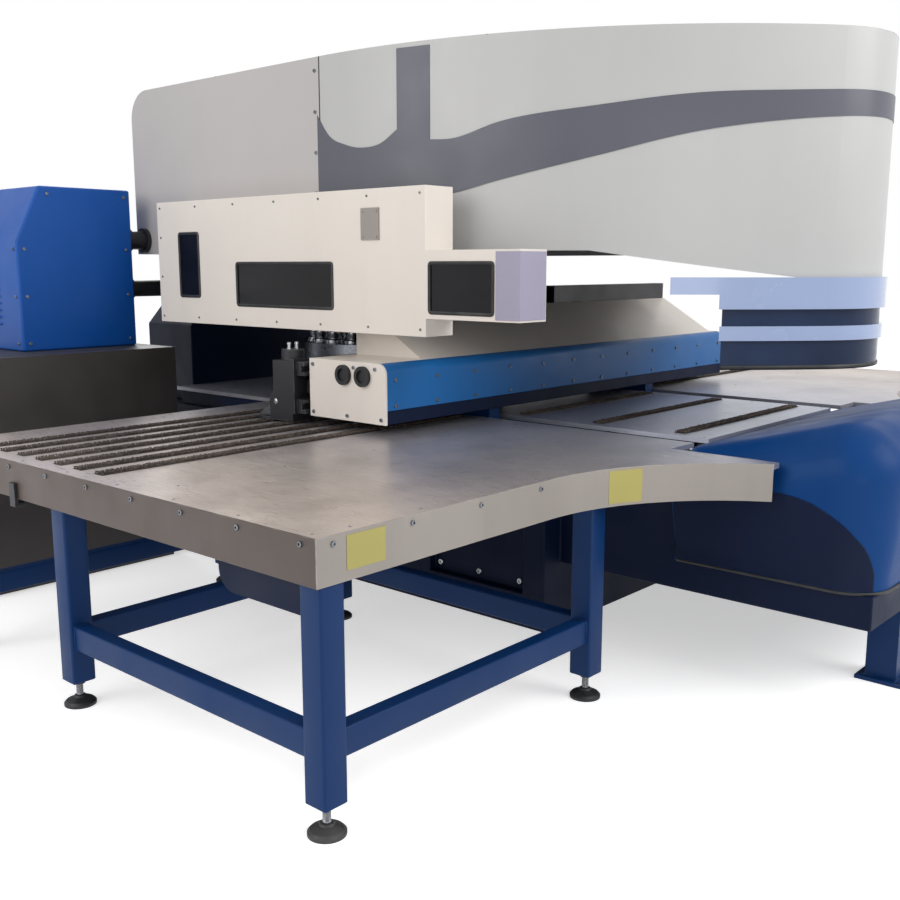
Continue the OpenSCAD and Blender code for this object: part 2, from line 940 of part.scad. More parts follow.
// Saddles: a foot on the guide blocks and a web that rises through the slot to the beam
module y_saddles() {
    foot_h = 18;
    web = 80;
    color("#16396b") {
        for (x = [-guide_x, guide_x]) {
            block([x - block_w / 2, beam_y - 215, saddle_z],
                [x + block_w / 2, beam_y + 215, saddle_z + foot_h]);
            block([x - web / 2, beam_y - 200, saddle_z + foot_h - e],
                [x + web / 2, beam_y + 200, beam_z]);
        }
        difference() {
            union() {
                block([-guide_x, beam_y - 60, saddle_z],
                    [-y_screw_x + 50, beam_y + 60, saddle_z + foot_h]);
                block([-y_screw_x - 45, beam_y - 60, y_screw_z - 34],
                    [-y_screw_x + 50, beam_y + 60, saddle_z + e]);
            }
            translate([-y_screw_x, beam_y + 70, y_screw_z])
                rotate([90, 0, 0])
                    cylinder(h = 140, r = screw_r + 0.5);
        }
    }
}

// A drive screw along Y: threaded length between two thinner journals
module y_screw() {
    color("#b4b6b9")
        translate([-y_screw_x, 0, y_screw_z])
            rotate([-90, 0, 0]) {
                translate([0, 0, -table_y + 70])
                    cylinder(h = table_y + 330, r = screw_r);
                translate([0, 0, -table_y + 30])
                    cylinder(h = table_y + 430, r = screw_r - 6);
            }
}

// Bearing blocks at both ends, and the servo motor behind the rear one
module y_screw_bearings() {
    color("#33363c")
        difference() {
            union() {
                for (y = [-table_y + 20, 410])
                    block([-y_screw_x - 42, y, base_h],
                        [-y_screw_x + 42, y + 40, y_screw_z + 36]);
                block([-y_screw_x - 38, 449, base_h], [-y_screw_x + 38, 640, y_screw_z + 34]);
            }
            translate([-y_screw_x, 480, y_screw_z])
                rotate([90, 0, 0])
                    cylinder(h = 2 * table_y, r = screw_r - 6 + run_gap);
        }
}

// Outline of the beam with its covers on: its upper front edge is rounded.
// in is how far the outline lies inside the front and the top
module beam_outline(in = 0) {
    translate([beam_front_y + in, beam_z])
        square([tube_y1 - beam_front_y - in, beam_top - beam_round - beam_z]);
    translate([edge_y, beam_z])
        square([tube_y1 - edge_y, beam_top - in - beam_z]);
    translate([edge_y, beam_top - beam_round])
        circle(r = beam_round - in);
}

// Section of the box beam, with a chamfer under the covers' rounded edge.
// in is how far the section lies inside the beam's own faces
module tube_section(in = 0) {
    chamfer = beam_round - cover_t - in * (2 - sqrt(2));
    polygon([[tube_y0 + in, beam_z + in], [tube_y1 - in, beam_z + in],
        [tube_y1 - in, tube_top - in], [tube_y0 + in + chamfer, tube_top - in],
        [tube_y0 + in, tube_top - in - chamfer]]);
}

// Box section of the beam
module cross_beam() {
    color("#143d78")
        along_x(-tube_l, tube_l)
            difference() {
                tube_section();
                tube_section(beam_wall);
            }
}

// Side view of the raised cover: a slope that rises to a level top.
// in is how far the outline lies inside the sheet's outer face
module raised_side(in = 0) {
    slope = raise_h / (raise_y1 - raise_y0);
    k = sqrt(1 + slope * slope);
    polygon([[raise_y0 + in * k / slope, beam_top], [raise_y1 + in * (k - 1) / slope, raise_z - in],
        [tube_y1 - in, raise_z - in], [tube_y1 - in, beam_top]]);
}

// Top cover: a flat sheet behind the rounded edge, with a raised sloping cover folded over it
module beam_top_cover() {
    color("#ddd6cf") {
        block([-tube_l, edge_y, tube_top], [tube_l, tube_y1, beam_top]);
        difference() {
            along_x(raise_x0, raise_x1)
                raised_side();
            along_x(raise_x0 + cover_t, raise_x1 - cover_t)
                raised_side(cover_t);
        }
    }
}

// Front cover: an upright sheet that bends back over the upper edge
module beam_front_cover() {
    color("#1f64a8")
        along_x(-tube_l, tube_l)
            difference() {
                intersection() {
                    beam_outline();
                    translate([beam_front_y, beam_z + 60])
                        square([beam_round, beam_top - beam_z]);
                }
                beam_outline(cover_t);
            }
}

// End plates with a rounded upper front corner and two round holes for the sockets
module beam_end_plates() {
    t = 2 * cover_t;
    color("#ddd6cf")
        both()
            difference() {
                along_x(-beam_l, -beam_l + t)
                    beam_outline();
                for (y = socket_ys)
                    translate([-beam_l - e, y, socket_z])
                        rotate([0, 90, 0])
                            cylinder(h = t + 2 * e, r = socket_r + 0.2);
            }
}

// Round sockets set in the end plates
module beam_sockets() {
    color("#202226")
        both()
            for (y = socket_ys)
                translate([-beam_l - 16, y, socket_z])
                    rotate([0, 90, 0])
                        difference() {
                            union() {
                                cylinder(h = 16 + 2 * cover_t, r = socket_r);
                                cylinder(h = 16, r = socket_r + 8);
                            }
                            translate([0, 0, -e])
                                cylinder(h = 12, r = 28);
                        }
}

// Trough for the carriage's cables, along the right half of the raised cover's top
module cable_trough() {
    x0 = 250;
    y0 = tube_y1 - trough_d;
    wall = 4;
    h = 95;
    lid = 10;
    color("#1d1f24")
        difference() {
            block([x0, y0, raise_z], [raise_x1, tube_y1, raise_z + h]);
            block([x0 - e, y0 + wall, raise_z + wall],
                [raise_x1 + e, tube_y1 - wall, raise_z + h - lid]);
        }
}

// Two rails on the beam's rear face
module x_guides() {
    color("#9a9da1")
        for (z = x_guide_zs)
            translate([0, tube_y1, z])
                rotate([0, 0, 180])
                    rotate([90, 0, 90])
                        translate([0, 0, -tube_l + 20])
                            linear_extrude(2 * tube_l - 40)
                                rotate([0, 0, 90])
                                    guide_profile();
}

module x_screw() {
    color("#b4b6b9")
        translate([0, x_screw_y, x_screw_z])
            rotate([0, 90, 0]) {
                translate([0, 0, -beam_l + 90])
                    cylinder(h = 2 * beam_l - 180, r = screw_r - 4);
                translate([0, 0, -beam_l + 40])
                    cylinder(h = 2 * beam_l - 80, r = screw_r - 8);
            }
}

module x_screw_bearings() {
    journal = screw_r - 8 + run_gap;
    color("#33363c")
        difference() {
            union() {
                for (x = [-beam_l + 30, beam_l - 70])
                    block([x, tube_y1, x_screw_z - 30], [x + 40, x_screw_y + 24, x_screw_z + 30]);
                block([beam_l - 31, tube_y1 + 4, x_screw_z - 27],
                    [beam_l + 90, x_screw_y + 22, x_screw_z + 27]);
            }
            translate([-beam_l, x_screw_y, x_screw_z])
                rotate([0, 90, 0])
                    cylinder(h = 2 * beam_l - 35, r = journal);
        }
}

// Carriage: a long plate with grooved shoes that hold the beam's rear rails
module x_carriage() {
    shoe_w = 66;
    y0 = tube_y1 + 8;
    nut_x = clamp_xs[1] + 200;
    color("#2b3340") {
        block([carriage_x0, carriage_y, beam_z + 5], [carriage_x1, clamp_y, beam_top - 8]);
        difference() {
            block([nut_x, y0, x_screw_z - 30], [nut_x + 90, carriage_y + e, x_screw_z + 30]);
            translate([nut_x - e, x_screw_y, x_screw_z])
                rotate([0, 90, 0])
                    cylinder(h = 90 + 2 * e, r = screw_r - 4 + 0.5);
        }
        for (x = clamp_xs)
            for (z = x_guide_zs)
                difference() {
                    block([x - 60, y0, z - shoe_w / 2 + 2], [x + 60, carriage_y + e, z + shoe_w / 2 - 2]);
                    translate([x, tube_y1, z])
                        rotate([0, 0, 180])
                            rotate([90, 0, 90])
                                translate([0, 0, -62])
                                    linear_extrude(124)
                                        rotate([0, 0, 90])
                                            guide_profile(guide_gap);
                }
    }
}

// Clamp body: two cheeks, a back, a lower jaw and a cylinder cap on top
module clamp_body() {
    cheek = 22;
    w = clamp_w / 2;
    low = brush_top + 1;
    sheet = pass_z;
    difference() {
        union() {
            along_x(-w, w)
                polygon([[clamp_y, low], [clamp_y + nose_reach - 20, low],
                    [clamp_y + nose_reach, low + 2], [clamp_y + nose_reach, sheet], [pivot_y + 45, sheet],
                    [pivot_y + 45, pivot_z + 20], [pivot_y + 15, pivot_z + 45],
                    [pivot_y + 15, beam_top - 20], [clamp_y, beam_top - 20]]);
            translate([0, clamp_y + 66, beam_top - 20])
                cylinder(h = 50, r = 52);
        }
        along_x(-w + cheek, w - cheek)
            polygon([[clamp_y + 40, sheet], [clamp_y + nose_reach + e, sheet],
                [clamp_y + nose_reach + e, pivot_z + 160], [pivot_y + 20, pivot_z + 160],
                [clamp_y + 40, pivot_z + 110]]);
        translate([-w - e, pivot_y, pivot_z])
            rotate([0, 90, 0])
                cylinder(h = clamp_w + 2 * e, r = jaw_pin_r);
    }
}

module clamp_bodies() {
    color("#17181c")
        for (x = clamp_xs)
            translate([x, 0, 0])
                clamp_body();
}

// Upper jaw: a lever between the cheeks, with its nose over the lower jaw
module jaw() {
    w = clamp_w / 2 - 22.5;
    z0 = pass_z + jaw_gap;
    difference() {
        along_x(-w, w)
            polygon([[pivot_y - 18, pivot_z - 40], [pivot_y + 20, z0 + 12],
                [clamp_y + nose_reach - 40, z0], [clamp_y + nose_reach - 1, z0],
                [clamp_y + nose_reach - 1, z0 + 14], [pivot_y + 50, pivot_z - 14],
                [pivot_y + 14, pivot_z + 18], [pivot_y - 10, pivot_z + 18],
                [pivot_y - 22, pivot_z]]);
        translate([-w - e, pivot_y, pivot_z])
            rotate([0, 90, 0])
                cylinder(h = 2 * w + 2 * e, r = jaw_pin_r + pin_gap);
    }
}

module jaw_left() {
    color("#4a4d52")
        translate([clamp_xs[0], 0, 0])
            jaw();
}

module jaw_middle() {
    color("#4a4d52")
        translate([clamp_xs[1], 0, 0])
            jaw();
}

module jaw_right() {
    color("#4a4d52")
        translate([clamp_xs[2], 0, 0])
            jaw();
}

module jaw_pins() {
    color("#a5a8ac")
        for (x = clamp_xs)
            translate([x - clamp_w / 2, pivot_y, pivot_z])
                rotate([0, 90, 0])
                    cylinder(h = clamp_w, r = jaw_pin_r);
}

// Turret disc with a ring of bores and a shaft on one side
module turret_disc(z, shaft_z0, shaft_z1) {
    difference() {
        union() {
            translate([0, turret_y, z])
                cylinder(h = disc_t, r = turret_r);
            translate([0, turret_y, shaft_z0])
                cylinder(h = shaft_z1 - shaft_z0, r = shaft_r);
        }
        for (i = [0:stations - 1])
            translate([0, turret_y, z - e])
                rotate([0, 0, -90 + i * 360 / stations])
                    translate([station_ring_r, 0, 0])
                        cylinder(h = disc_t + 2 * e, r = station_r);
    }
}

module upper_turret() {
    color("#7d8288")
        turret_disc(upper_disc_z, upper_disc_z + disc_t - e, arm_z + 240);
}

module lower_turret() {
    color("#7d8288")
        turret_disc(lower_disc_z, lower_disc_z - 200, lower_disc_z + e);
}

// One punch in its guide: a head over the disc, a body through it and a short nose below
module punch() {
    body = station_r - 0.2;
    z0 = upper_disc_z - punch_z;
    rotate_extrude()
        polygon([[0, 0], [body - 14, 0], [body - 10, z0 - 8], [body, z0], [body, z0 + disc_t],
            [body + 8, z0 + disc_t], [body + 8, z0 + disc_t + 18], [body - 12, z0 + disc_t + 24],
            [body - 12, z0 + disc_t + 64], [0, z0 + disc_t + 64]]);
}

module punch_holders() {
    color("#b9ad8e")
        for (i = [0:stations - 1])
            translate([0, turret_y, punch_z])
                rotate([0, 0, -90 + i * 360 / stations])
                    translate([station_ring_r, 0, 0])
                        punch();
}

// One die holder: a flange on the lower disc with the die's hole down its middle
module die() {
    body = station_r - 0.2;
    z0 = lower_disc_z + disc_t;
    rotate_extrude()
        polygon([[14, lower_disc_z + 20], [body, lower_disc_z + 20], [body, z0], [body + 10, z0],
            [body + 10, die_top - 20], [body - 4, die_top], [14, die_top]]);
}

module die_holders() {
    color("#8e9399")
        for (i = [0:stations - 1])
            translate([0, turret_y, 0])
                rotate([0, 0, -90 + i * 360 / stations])
                    translate([station_ring_r, 0, 0])
                        die();
}

module ram() {
    color("#c2c4c7")
        translate([0, ram_y, ram_z]) {
            cylinder(h = 18, r = ram_r + 12);
            cylinder(h = arm_z + 340 - ram_z, r = ram_r);
        }
}

// Electrical cabinet on a plinth, open at the rear, with two hinge pins on its left side
module cabinet() {
    x0 = -cabinet_x - cabinet_w;
    color("#2a2624") {
        difference() {
            block([x0, cabinet_y0, plinth_h], [-cabinet_x, cabinet_y1, cabinet_top]);
            block([x0 + cabinet_t, cabinet_y0 + cabinet_t, plinth_h + cabinet_t],
                [-cabinet_x - cabinet_t, cabinet_y1 + e, cabinet_top - cabinet_t]);
        }
        block([x0 + 40, cabinet_y0 + 40, 0], [-cabinet_x - 40, cabinet_y1 - 40, plinth_h + e]);
        for (z = hinge_zs) {
            block([hinge_x - 10, cabinet_y1 - 60, z - 20], [x0 + e, cabinet_y1 - 2, z - 4]);
            block([hinge_x - 10, cabinet_y1 - 3, z - 20], [hinge_x + 9, hinge_y + 9, z - 4]);
            translate([hinge_x, hinge_y, z - 5])
                cylinder(h = 60, r = hinge_pin_r);
        }
    }
}

// Mounting plate with rows of switchgear and two tall drive units
module cabinet_gear() {
    x0 = -cabinet_x - cabinet_w + cabinet_t + 60;
    x1 = -cabinet_x - cabinet_t - 60;
    y = cabinet_y0 + cabinet_t;
    z0 = plinth_h + cabinet_t + 60;
    z1 = cabinet_top - cabinet_t - 60;
    unit_w = 70;
    unit_pitch = (x1 - x0 - 80 - unit_w) / 8;
    drive_pitch = (x1 - x0) / 3;
    drive_h = 340;
    row_h = (z1 - z0 - drive_h - 60) / 2;
    color("#8b8f93") {
        block([x0, y, z0], [x1, y + 5, z1]);
        for (row = [0:1])
            for (i = [0:8])
                translate([x0 + 40 + i * unit_pitch, y + 4, z0 + 60 + row * row_h])
                    cube([unit_w, 90, row_h / 2]);
        for (i = [0:2])
            translate([x0 + 50 + i * drive_pitch, y + 4, z1 - drive_h - 20])
                cube([drive_pitch - 100, 160, drive_h]);
    }
}

// Door: a pan with a returned edge, two hinge knuckles and a hole for the handle's spindle
module cabinet_door() {
    x0 = -cabinet_x - cabinet_w;
    y0 = cabinet_y1 + 0.4;
    color("#35302d")
        difference() {
            union() {
                difference() {
                    block([x0 + 1, y0, plinth_h + 2],
                        [-cabinet_x - 1, y0 + door_t, cabinet_top - 2]);
                    block([x0 + 30, y0 - e, plinth_h + 30],
                        [-cabinet_x - 120, y0 + door_t - 3, cabinet_top - 30]);
                }
                for (z = hinge_zs) {
                    translate([hinge_x, hinge_y, z])
                        cylinder(h = 50, r = 12);
                    block([hinge_x, hinge_y - 5, z], [x0 + 2, hinge_y + 5, z + 50]);
                }
            }
            for (z = hinge_zs)
                translate([hinge_x, hinge_y, z - e])
                    cylinder(h = 60, r = hinge_pin_r + run_gap);
            translate([handle_x, y0 - e, handle_z])
                rotate([-90, 0, 0])
                    cylinder(h = door_t + 2 * e, r = 9 + run_gap);
        }
}

// Lever handle on a spindle, with a cam inside the door
module door_handle() {
    y0 = cabinet_y1 + 0.4 + door_t;
    color("#17181a")
        translate([handle_x, 0, handle_z])
            along_y(y0 - door_t - 14, y0 + 8)
                circle(r = 9);
    color("#17181a")
        translate([handle_x, 0, handle_z]) {
            along_y(y0 + 0.3, y0 + 12)
                circle(r = 24);
            along_y(y0 + 11, half_depth) {
                circle(r = 15);
                translate([-12, -120])
                    square([24, 120]);
                translate([0, -120])
                    circle(r = 12);
            }
            along_y(y0 - door_t - 13, y0 - door_t - 6)
                translate([-10, -40])
                    square([20, 55]);
        }
}

// Blue hood of the drive unit, with its upper left corner cut off
module drive_hood() {
    x1 = drive_x1;
    x0 = x1 - drive_w;
    cut_w = 136;
    cut_h = 281;
    color("#1d5fae")
        along_y(drive_y0, cabinet_y1)
            polygon([[x0, cabinet_top], [x1, cabinet_top], [x1, drive_top],
                [x0 + cut_w, drive_top], [x0, drive_top - cut_h]]);
}

// Two pipes from the drive unit: a short one into the casing, a long one to the arm
module drive_pipes() {
    y = drive_y0 + 75;
    color("#1b2230") {
        translate([drive_x1, y, skirt_z + 75])
            rotate([0, 90, 0]) {
                cylinder(h = -casing_w - drive_x1, r = 50);
                cylinder(h = 20, r = 68);
                translate([0, 0, -casing_w - drive_x1 - 20])
                    cylinder(h = 20, r = 68);
            }
        translate([drive_x1, y, arm_z + 80])
            rotate([0, 90, 0]) {
                cylinder(h = -arm_w - drive_x1, r = 45);
                cylinder(h = 20, r = 62);
                translate([0, 0, -arm_w - drive_x1 - 20])
                    cylinder(h = 20, r = 62);
            }
    }
}

table_legs();
levelling_feet();
lower_rails();
table_top_rails();
knee_braces();
side_table_left();
side_table_right();
centre_table();
brush_strips();
side_aprons();
front_aprons();
apron_fields();
apron_hooks();
table_bearers();
base_frame();
pedestals();
front_housing();
rear_column();
upper_arm();
casing_rear();
casing_front();
casing_posts();
casing_stripe();
visor_trim();
visor_pane();
side_housing();
housing_windows();
housing_end_panel();
housing_cover();
y_guides();
y_guide_blocks();
y_saddles();
y_screw();
y_screw_bearings();
cross_beam();
beam_top_cover();
beam_front_cover();
beam_end_plates();
beam_sockets();
cable_trough();
x_guides();
x_screw();
x_screw_bearings();
x_carriage();
clamp_bodies();
jaw_left();
jaw_middle();
jaw_right();
jaw_pins();
upper_turret();
punch_holders();
lower_turret();
die_holders();
ram();
cabinet();
cabinet_gear();
cabinet_door();
door_handle();
drive_hood();
drive_pipes();
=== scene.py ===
import json
import math

import bmesh
import bpy
import numpy as np
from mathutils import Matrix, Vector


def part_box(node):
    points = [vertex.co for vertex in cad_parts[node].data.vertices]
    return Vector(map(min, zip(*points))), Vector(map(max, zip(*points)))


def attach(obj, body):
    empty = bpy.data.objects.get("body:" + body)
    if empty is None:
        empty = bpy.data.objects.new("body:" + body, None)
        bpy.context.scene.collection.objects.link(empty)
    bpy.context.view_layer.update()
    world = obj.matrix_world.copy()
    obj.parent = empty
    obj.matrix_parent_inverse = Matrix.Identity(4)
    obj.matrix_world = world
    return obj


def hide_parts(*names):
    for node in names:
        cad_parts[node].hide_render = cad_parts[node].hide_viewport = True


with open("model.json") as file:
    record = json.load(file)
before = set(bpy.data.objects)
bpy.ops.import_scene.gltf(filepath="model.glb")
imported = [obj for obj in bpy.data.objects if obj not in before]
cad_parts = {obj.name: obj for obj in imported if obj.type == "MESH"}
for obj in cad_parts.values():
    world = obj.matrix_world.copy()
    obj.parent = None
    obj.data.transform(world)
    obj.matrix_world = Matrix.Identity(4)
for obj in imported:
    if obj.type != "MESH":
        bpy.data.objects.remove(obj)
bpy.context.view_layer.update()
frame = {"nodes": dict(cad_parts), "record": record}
scene = bpy.context.scene
print("frame loaded:", len(frame["nodes"]), "nodes")


# camera

cameraValues = {"place": (-4.588, -3.528, 1.61), "tilt": 79.97, "turn": -48.42, "lens": 41.84}

cameraData = bpy.data.cameras.new("photoCamera")
cameraData.lens = cameraValues["lens"]
cameraData.sensor_width = 36
photoCamera = bpy.data.objects.new("photoCamera", cameraData)
photoCamera.location = cameraValues["place"]
photoCamera.rotation_euler = (math.radians(cameraValues["tilt"]), 0, math.radians(cameraValues["turn"]))
scene.collection.objects.link(photoCamera)
scene.camera = photoCamera


# shapes

# points with quads and triangles, all as arrays
def shape(points, quads=None, tris=None):
    return {
        "points": np.asarray(points, float).reshape(-1, 3),
        "quads": np.zeros((0, 4), int) if quads is None else np.asarray(quads, int).reshape(-1, 4),
        "tris": np.zeros((0, 3), int) if tris is None else np.asarray(tris, int).reshape(-1, 3),
    }


# several shapes as one: face numbers are shifted by the number of points before them
def joined(shapes):
    starts = np.cumsum([0] + [len(s["points"]) for s in shapes])[:-1]
    return shape(
        np.concatenate([s["points"] for s in shapes]),
        np.concatenate([s["quads"] + k for s, k in zip(shapes, starts)]),
        np.concatenate([s["tris"] + k for s, k in zip(shapes, starts)]),
    )


# grid of points (rows, columns, 3) as quads: each face joins four neighbours
def gridShape(points, wrapRows=False, wrapColumns=False):
    rows, columns = points.shape[:2]
    a = np.arange(rows if wrapRows else rows - 1)[:, None]
    b = np.arange(columns if wrapColumns else columns - 1)[None, :]
    nextA, nextB = (a + 1) % rows, (b + 1) % columns
    quads = np.stack([a * columns + b, a * columns + nextB, nextA * columns + nextB,
                      nextA * columns + b], -1)
    return shape(points, quads)


# stack of closed rings (rings, points on a ring, 3), with a fan of triangles on both ends
def ringStack(rings):
    count, n = rings.shape[:2]
    body = gridShape(rings, wrapColumns=True)
    ends = np.stack([rings[0].mean(0), rings[-1].mean(0)])
    k = np.arange(n)
    after = (k + 1) % n
    low = np.stack([np.full(n, count * n), after, k], -1)
    high = np.stack([np.full(n, count * n + 1), (count - 1) * n + k, (count - 1) * n + after], -1)
    return shape(np.concatenate([body["points"], ends]), body["quads"], np.concatenate([low, high]))


# (radius, height) pairs turned round the z axis: x is radius times cosine, y is radius times sine
def turned(profile, sides=24):
    profile = np.asarray(profile, float)
    angle = np.arange(sides) * 2 * math.pi / sides
    radius, height = profile[:, :1], profile[:, 1:]
    return ringStack(np.stack([radius * np.cos(angle), radius * np.sin(angle),
                               height + 0 * angle], -1))


# one copy of a shape at each place, its z axis laid along the given direction
def stamped(base, places, direction):
    z = np.asarray(direction, float)
    z = z / np.linalg.norm(z)
    x = np.cross((0, 1, 0) if abs(z[1]) < 0.9 else (1, 0, 0), z)
    x = x / np.linalg.norm(x)
    turn = np.stack([x, np.cross(z, x), z])
    places = np.asarray(places, float).reshape(-1, 3)
    points = (base["points"] @ turn)[None] + places[:, None]
    shift = np.arange(len(places))[:, None, None] * len(base["points"])
    return shape(points, base["quads"][None] + shift, base["tris"][None] + shift)


# rounded rectangle round the origin: corner centres plus a quarter circle at each corner
def roundedRing(width, height, radius, steps=5):
    angle = np.linspace(0, math.pi / 2, steps)
    quarter = np.concatenate([angle + k * math.pi / 2 for k in range(4)])
    side = np.repeat([[1, 1], [-1, 1], [-1, -1], [1, -1]], steps, 0)
    centre = side * (np.array([width, height]) / 2 - radius)
    return centre + radius * np.stack([np.cos(quarter), np.sin(quarter)], -1)


# bar that fills a box along one axis: its rounded section shrinks a little at both ends, for eased ends
def roundedBar(low, high, axis, radius, steps=5):
    low, high = np.asarray(low, float), np.asarray(high, float)
    u, v = [k for k in range(3) if k != axis]
    size, middle = high - low, (high + low) / 2
    ease = radius * 0.35  # share of the corner that the ends are eased by
    rings = []
    for along, inset in ((low[axis], ease), (low[axis] + ease, 0), (high[axis] - ease, 0),
                         (high[axis], ease)):
        ring = roundedRing(size[u] - 2 * inset, size[v] - 2 * inset, radius - inset, steps)
        points = np.zeros((len(ring), 3))
        points[:, u], points[:, v] = ring[:, 0] + middle[u], ring[:, 1] + middle[v]
        points[:, axis] = along
        rings.append(points)
    return ringStack(np.array(rings))


# flat profile carried along a path: its first axis lies to the side, its second up, and at a bend it is
# widened by one over the cosine of half the turn
def carried(path, profile):
    path = np.asarray(path, float)
    ahead = np.roll(path, -1, 0) - path
    behind = path - np.roll(path, 1, 0)
    ahead[-1], behind[0] = behind[-1], ahead[0]
    ahead /= np.linalg.norm(ahead, axis=1)[:, None]
    behind /= np.linalg.norm(behind, axis=1)[:, None]
    along = ahead + behind
    along /= np.linalg.norm(along, axis=1)[:, None]
    side = np.stack([along[:, 1], -along[:, 0], 0 * along[:, 0]], -1)
    side /= np.linalg.norm(side, axis=1)[:, None]
    ahead = np.stack([ahead[:, 1], -ahead[:, 0], 0 * ahead[:, 0]], -1)
    side /= np.maximum(0.5, (side * ahead).sum(1))[:, None]
    profile = np.asarray(profile, float)
    rings = path[:, None] + side[:, None] * profile[None, :, :1]
    rings = rings + np.array([0, 0, 1.0]) * profile[None, :, 1:]
    return ringStack(rings)


# smooth curve through knots: cubic pieces whose slope at a knot comes from the knots beside it
def smoothLine(knots, at):
    x, value = np.array(sorted(knots), float).T
    slope = np.gradient(value, x)
    k = np.clip(np.searchsorted(x, at) - 1, 0, len(x) - 2)
    step = x[k + 1] - x[k]
    t = (at - x[k]) / step
    return ((2 * t ** 3 - 3 * t ** 2 + 1) * value[k] + (t ** 3 - 2 * t ** 2 + t) * step * slope[k]
            + (3 * t ** 2 - 2 * t ** 3) * value[k + 1] + (t ** 3 - t ** 2) * step * slope[k + 1])


# socket head screw on z = 0: rings for the head, its eased rim and a recess whose radius follows a hexagon
def screwHead(radius, height):
    sides = 12
    key, rim, rimStart, recess = 0.52, 0.86, 0.75, 0.35  # shares of the head's radius and height
    angle = np.arange(sides) * 2 * math.pi / sides
    hexagon = key * radius / np.cos((angle + math.pi / 6) % (math.pi / 3) - math.pi / 6)
    rings = []
    for r, z in ((radius, 0), (radius, rimStart * height), (rim * radius, height), (hexagon, height),
                 (hexagon, recess * height)):
        rings.append(np.stack([r * np.cos(angle), r * np.sin(angle), z + 0 * angle], -1))
    return ringStack(np.array(rings))


# finishes: each one is a node material on object coordinates

# new material: its tree, its shader and the place of a point on the object
def startFinish(name, metal, coat, gloss=0.5):
    finish = bpy.data.materials.new(name)
    finish.use_nodes = True
    tree = finish.node_tree
    shader = tree.nodes["Principled BSDF"]
    shader.inputs["Metallic"].default_value = metal
    shader.inputs["Coat Weight"].default_value = coat
    shader.inputs["Coat Roughness"].default_value = 0.12
    shader.inputs["Specular IOR Level"].default_value = gloss
    place = tree.nodes.new("ShaderNodeTexCoord").outputs["Object"]
    return finish, tree, shader, place


# cloudy noise from nought to one, finer along an axis with a larger stretch
def noise(tree, place, scale, detail=3, stretch=(1, 1, 1)):
    mapping = tree.nodes.new("ShaderNodeMapping")
    mapping.inputs["Scale"].default_value = stretch
    texture = tree.nodes.new("ShaderNodeTexNoise")
    texture.inputs["Scale"].default_value = scale
    texture.inputs["Detail"].default_value = detail
    tree.links.new(place, mapping.inputs["Vector"])
    tree.links.new(mapping.outputs["Vector"], texture.inputs["Vector"])
    return texture.outputs["Fac"]


# colour that runs through the stops as the value rises
def ramp(tree, value, stops):
    node = tree.nodes.new("ShaderNodeValToRGB")
    points = node.color_ramp.elements
    while len(points) < len(stops):
        points.new(0.5)
    for point, (where, colour) in zip(points, stops):
        point.position = where
        point.color = (*colour, 1)
    tree.links.new(value, node.inputs["Fac"])
    return node.outputs["Color"]


# value between two limits laid out from low to high, and held beyond them
def span(tree, value, low, high, fromLow=0.3, fromHigh=0.7):
    node = tree.nodes.new("ShaderNodeMapRange")
    for key, number in (("From Min", fromLow), ("From Max", fromHigh), ("To Min", low),
                        ("To Max", high)):
        node.inputs[key].default_value = number
    tree.links.new(value, node.inputs["Value"])
    return node.outputs["Result"]


# one colour laid over another, by a factor
def blended(tree, factor, first, second, kind="MIX"):
    node = tree.nodes.new("ShaderNodeMix")
    node.data_type = "RGBA"
    node.blend_type = kind
    tree.links.new(factor, node.inputs["Factor"])
    for key, value in (("A", first), ("B", second)):
        socket = [s for s in node.inputs if s.name == key and s.type == "RGBA"][0]
        if isinstance(value, tuple):
            socket.default_value = (*value, 1)
        else:
            tree.links.new(value, socket)
    return [s for s in node.outputs if s.type == "RGBA"][0]


# relief from a height, added to the relief that is there
def bumped(tree, shader, height, distance, strength=1.0):
    node = tree.nodes.new("ShaderNodeBump")
    node.inputs["Distance"].default_value = distance
    node.inputs["Strength"].default_value = strength
    tree.links.new(height, node.inputs["Height"])
    if shader.inputs["Normal"].is_linked:
        tree.links.new(shader.inputs["Normal"].links[0].from_socket, node.inputs["Normal"])
    tree.links.new(node.outputs["Normal"], shader.inputs["Normal"])


# fine relief from noise of one scale
def grained(tree, shader, place, scale, depth, strength, stretch=(1, 1, 1)):
    bumped(tree, shader, noise(tree, place, scale, 2, stretch), depth, strength)


# roughness that follows a value; spread says how far it goes down and up from the middle one
def roughened(tree, shader, value, rough, spread):
    tree.links.new(span(tree, value, rough + spread[0], rough + spread[1]), shader.inputs["Roughness"])


# linear colour from a screen colour given as six hexadecimal digits
def tint(digits, gain=1.0):
    value = np.array([int(digits[k:k + 2], 16) / 255 for k in (0, 2, 4)])
    linear = np.where(value <= 0.04045, value / 12.92, ((value + 0.055) / 1.055) ** 2.4)
    return tuple(float(c) for c in np.clip(linear * gain, 0, 1))


# one number from one or two by a named operation; each is a socket or a plain number
def combined(tree, operation, first, second=None):
    node = tree.nodes.new("ShaderNodeMath")
    node.operation = operation
    for socket, value in zip(node.inputs, (first, second)):
        if isinstance(value, (int, float)):
            socket.default_value = value
        elif value is not None:
            tree.links.new(value, socket)
    return node.outputs[0]


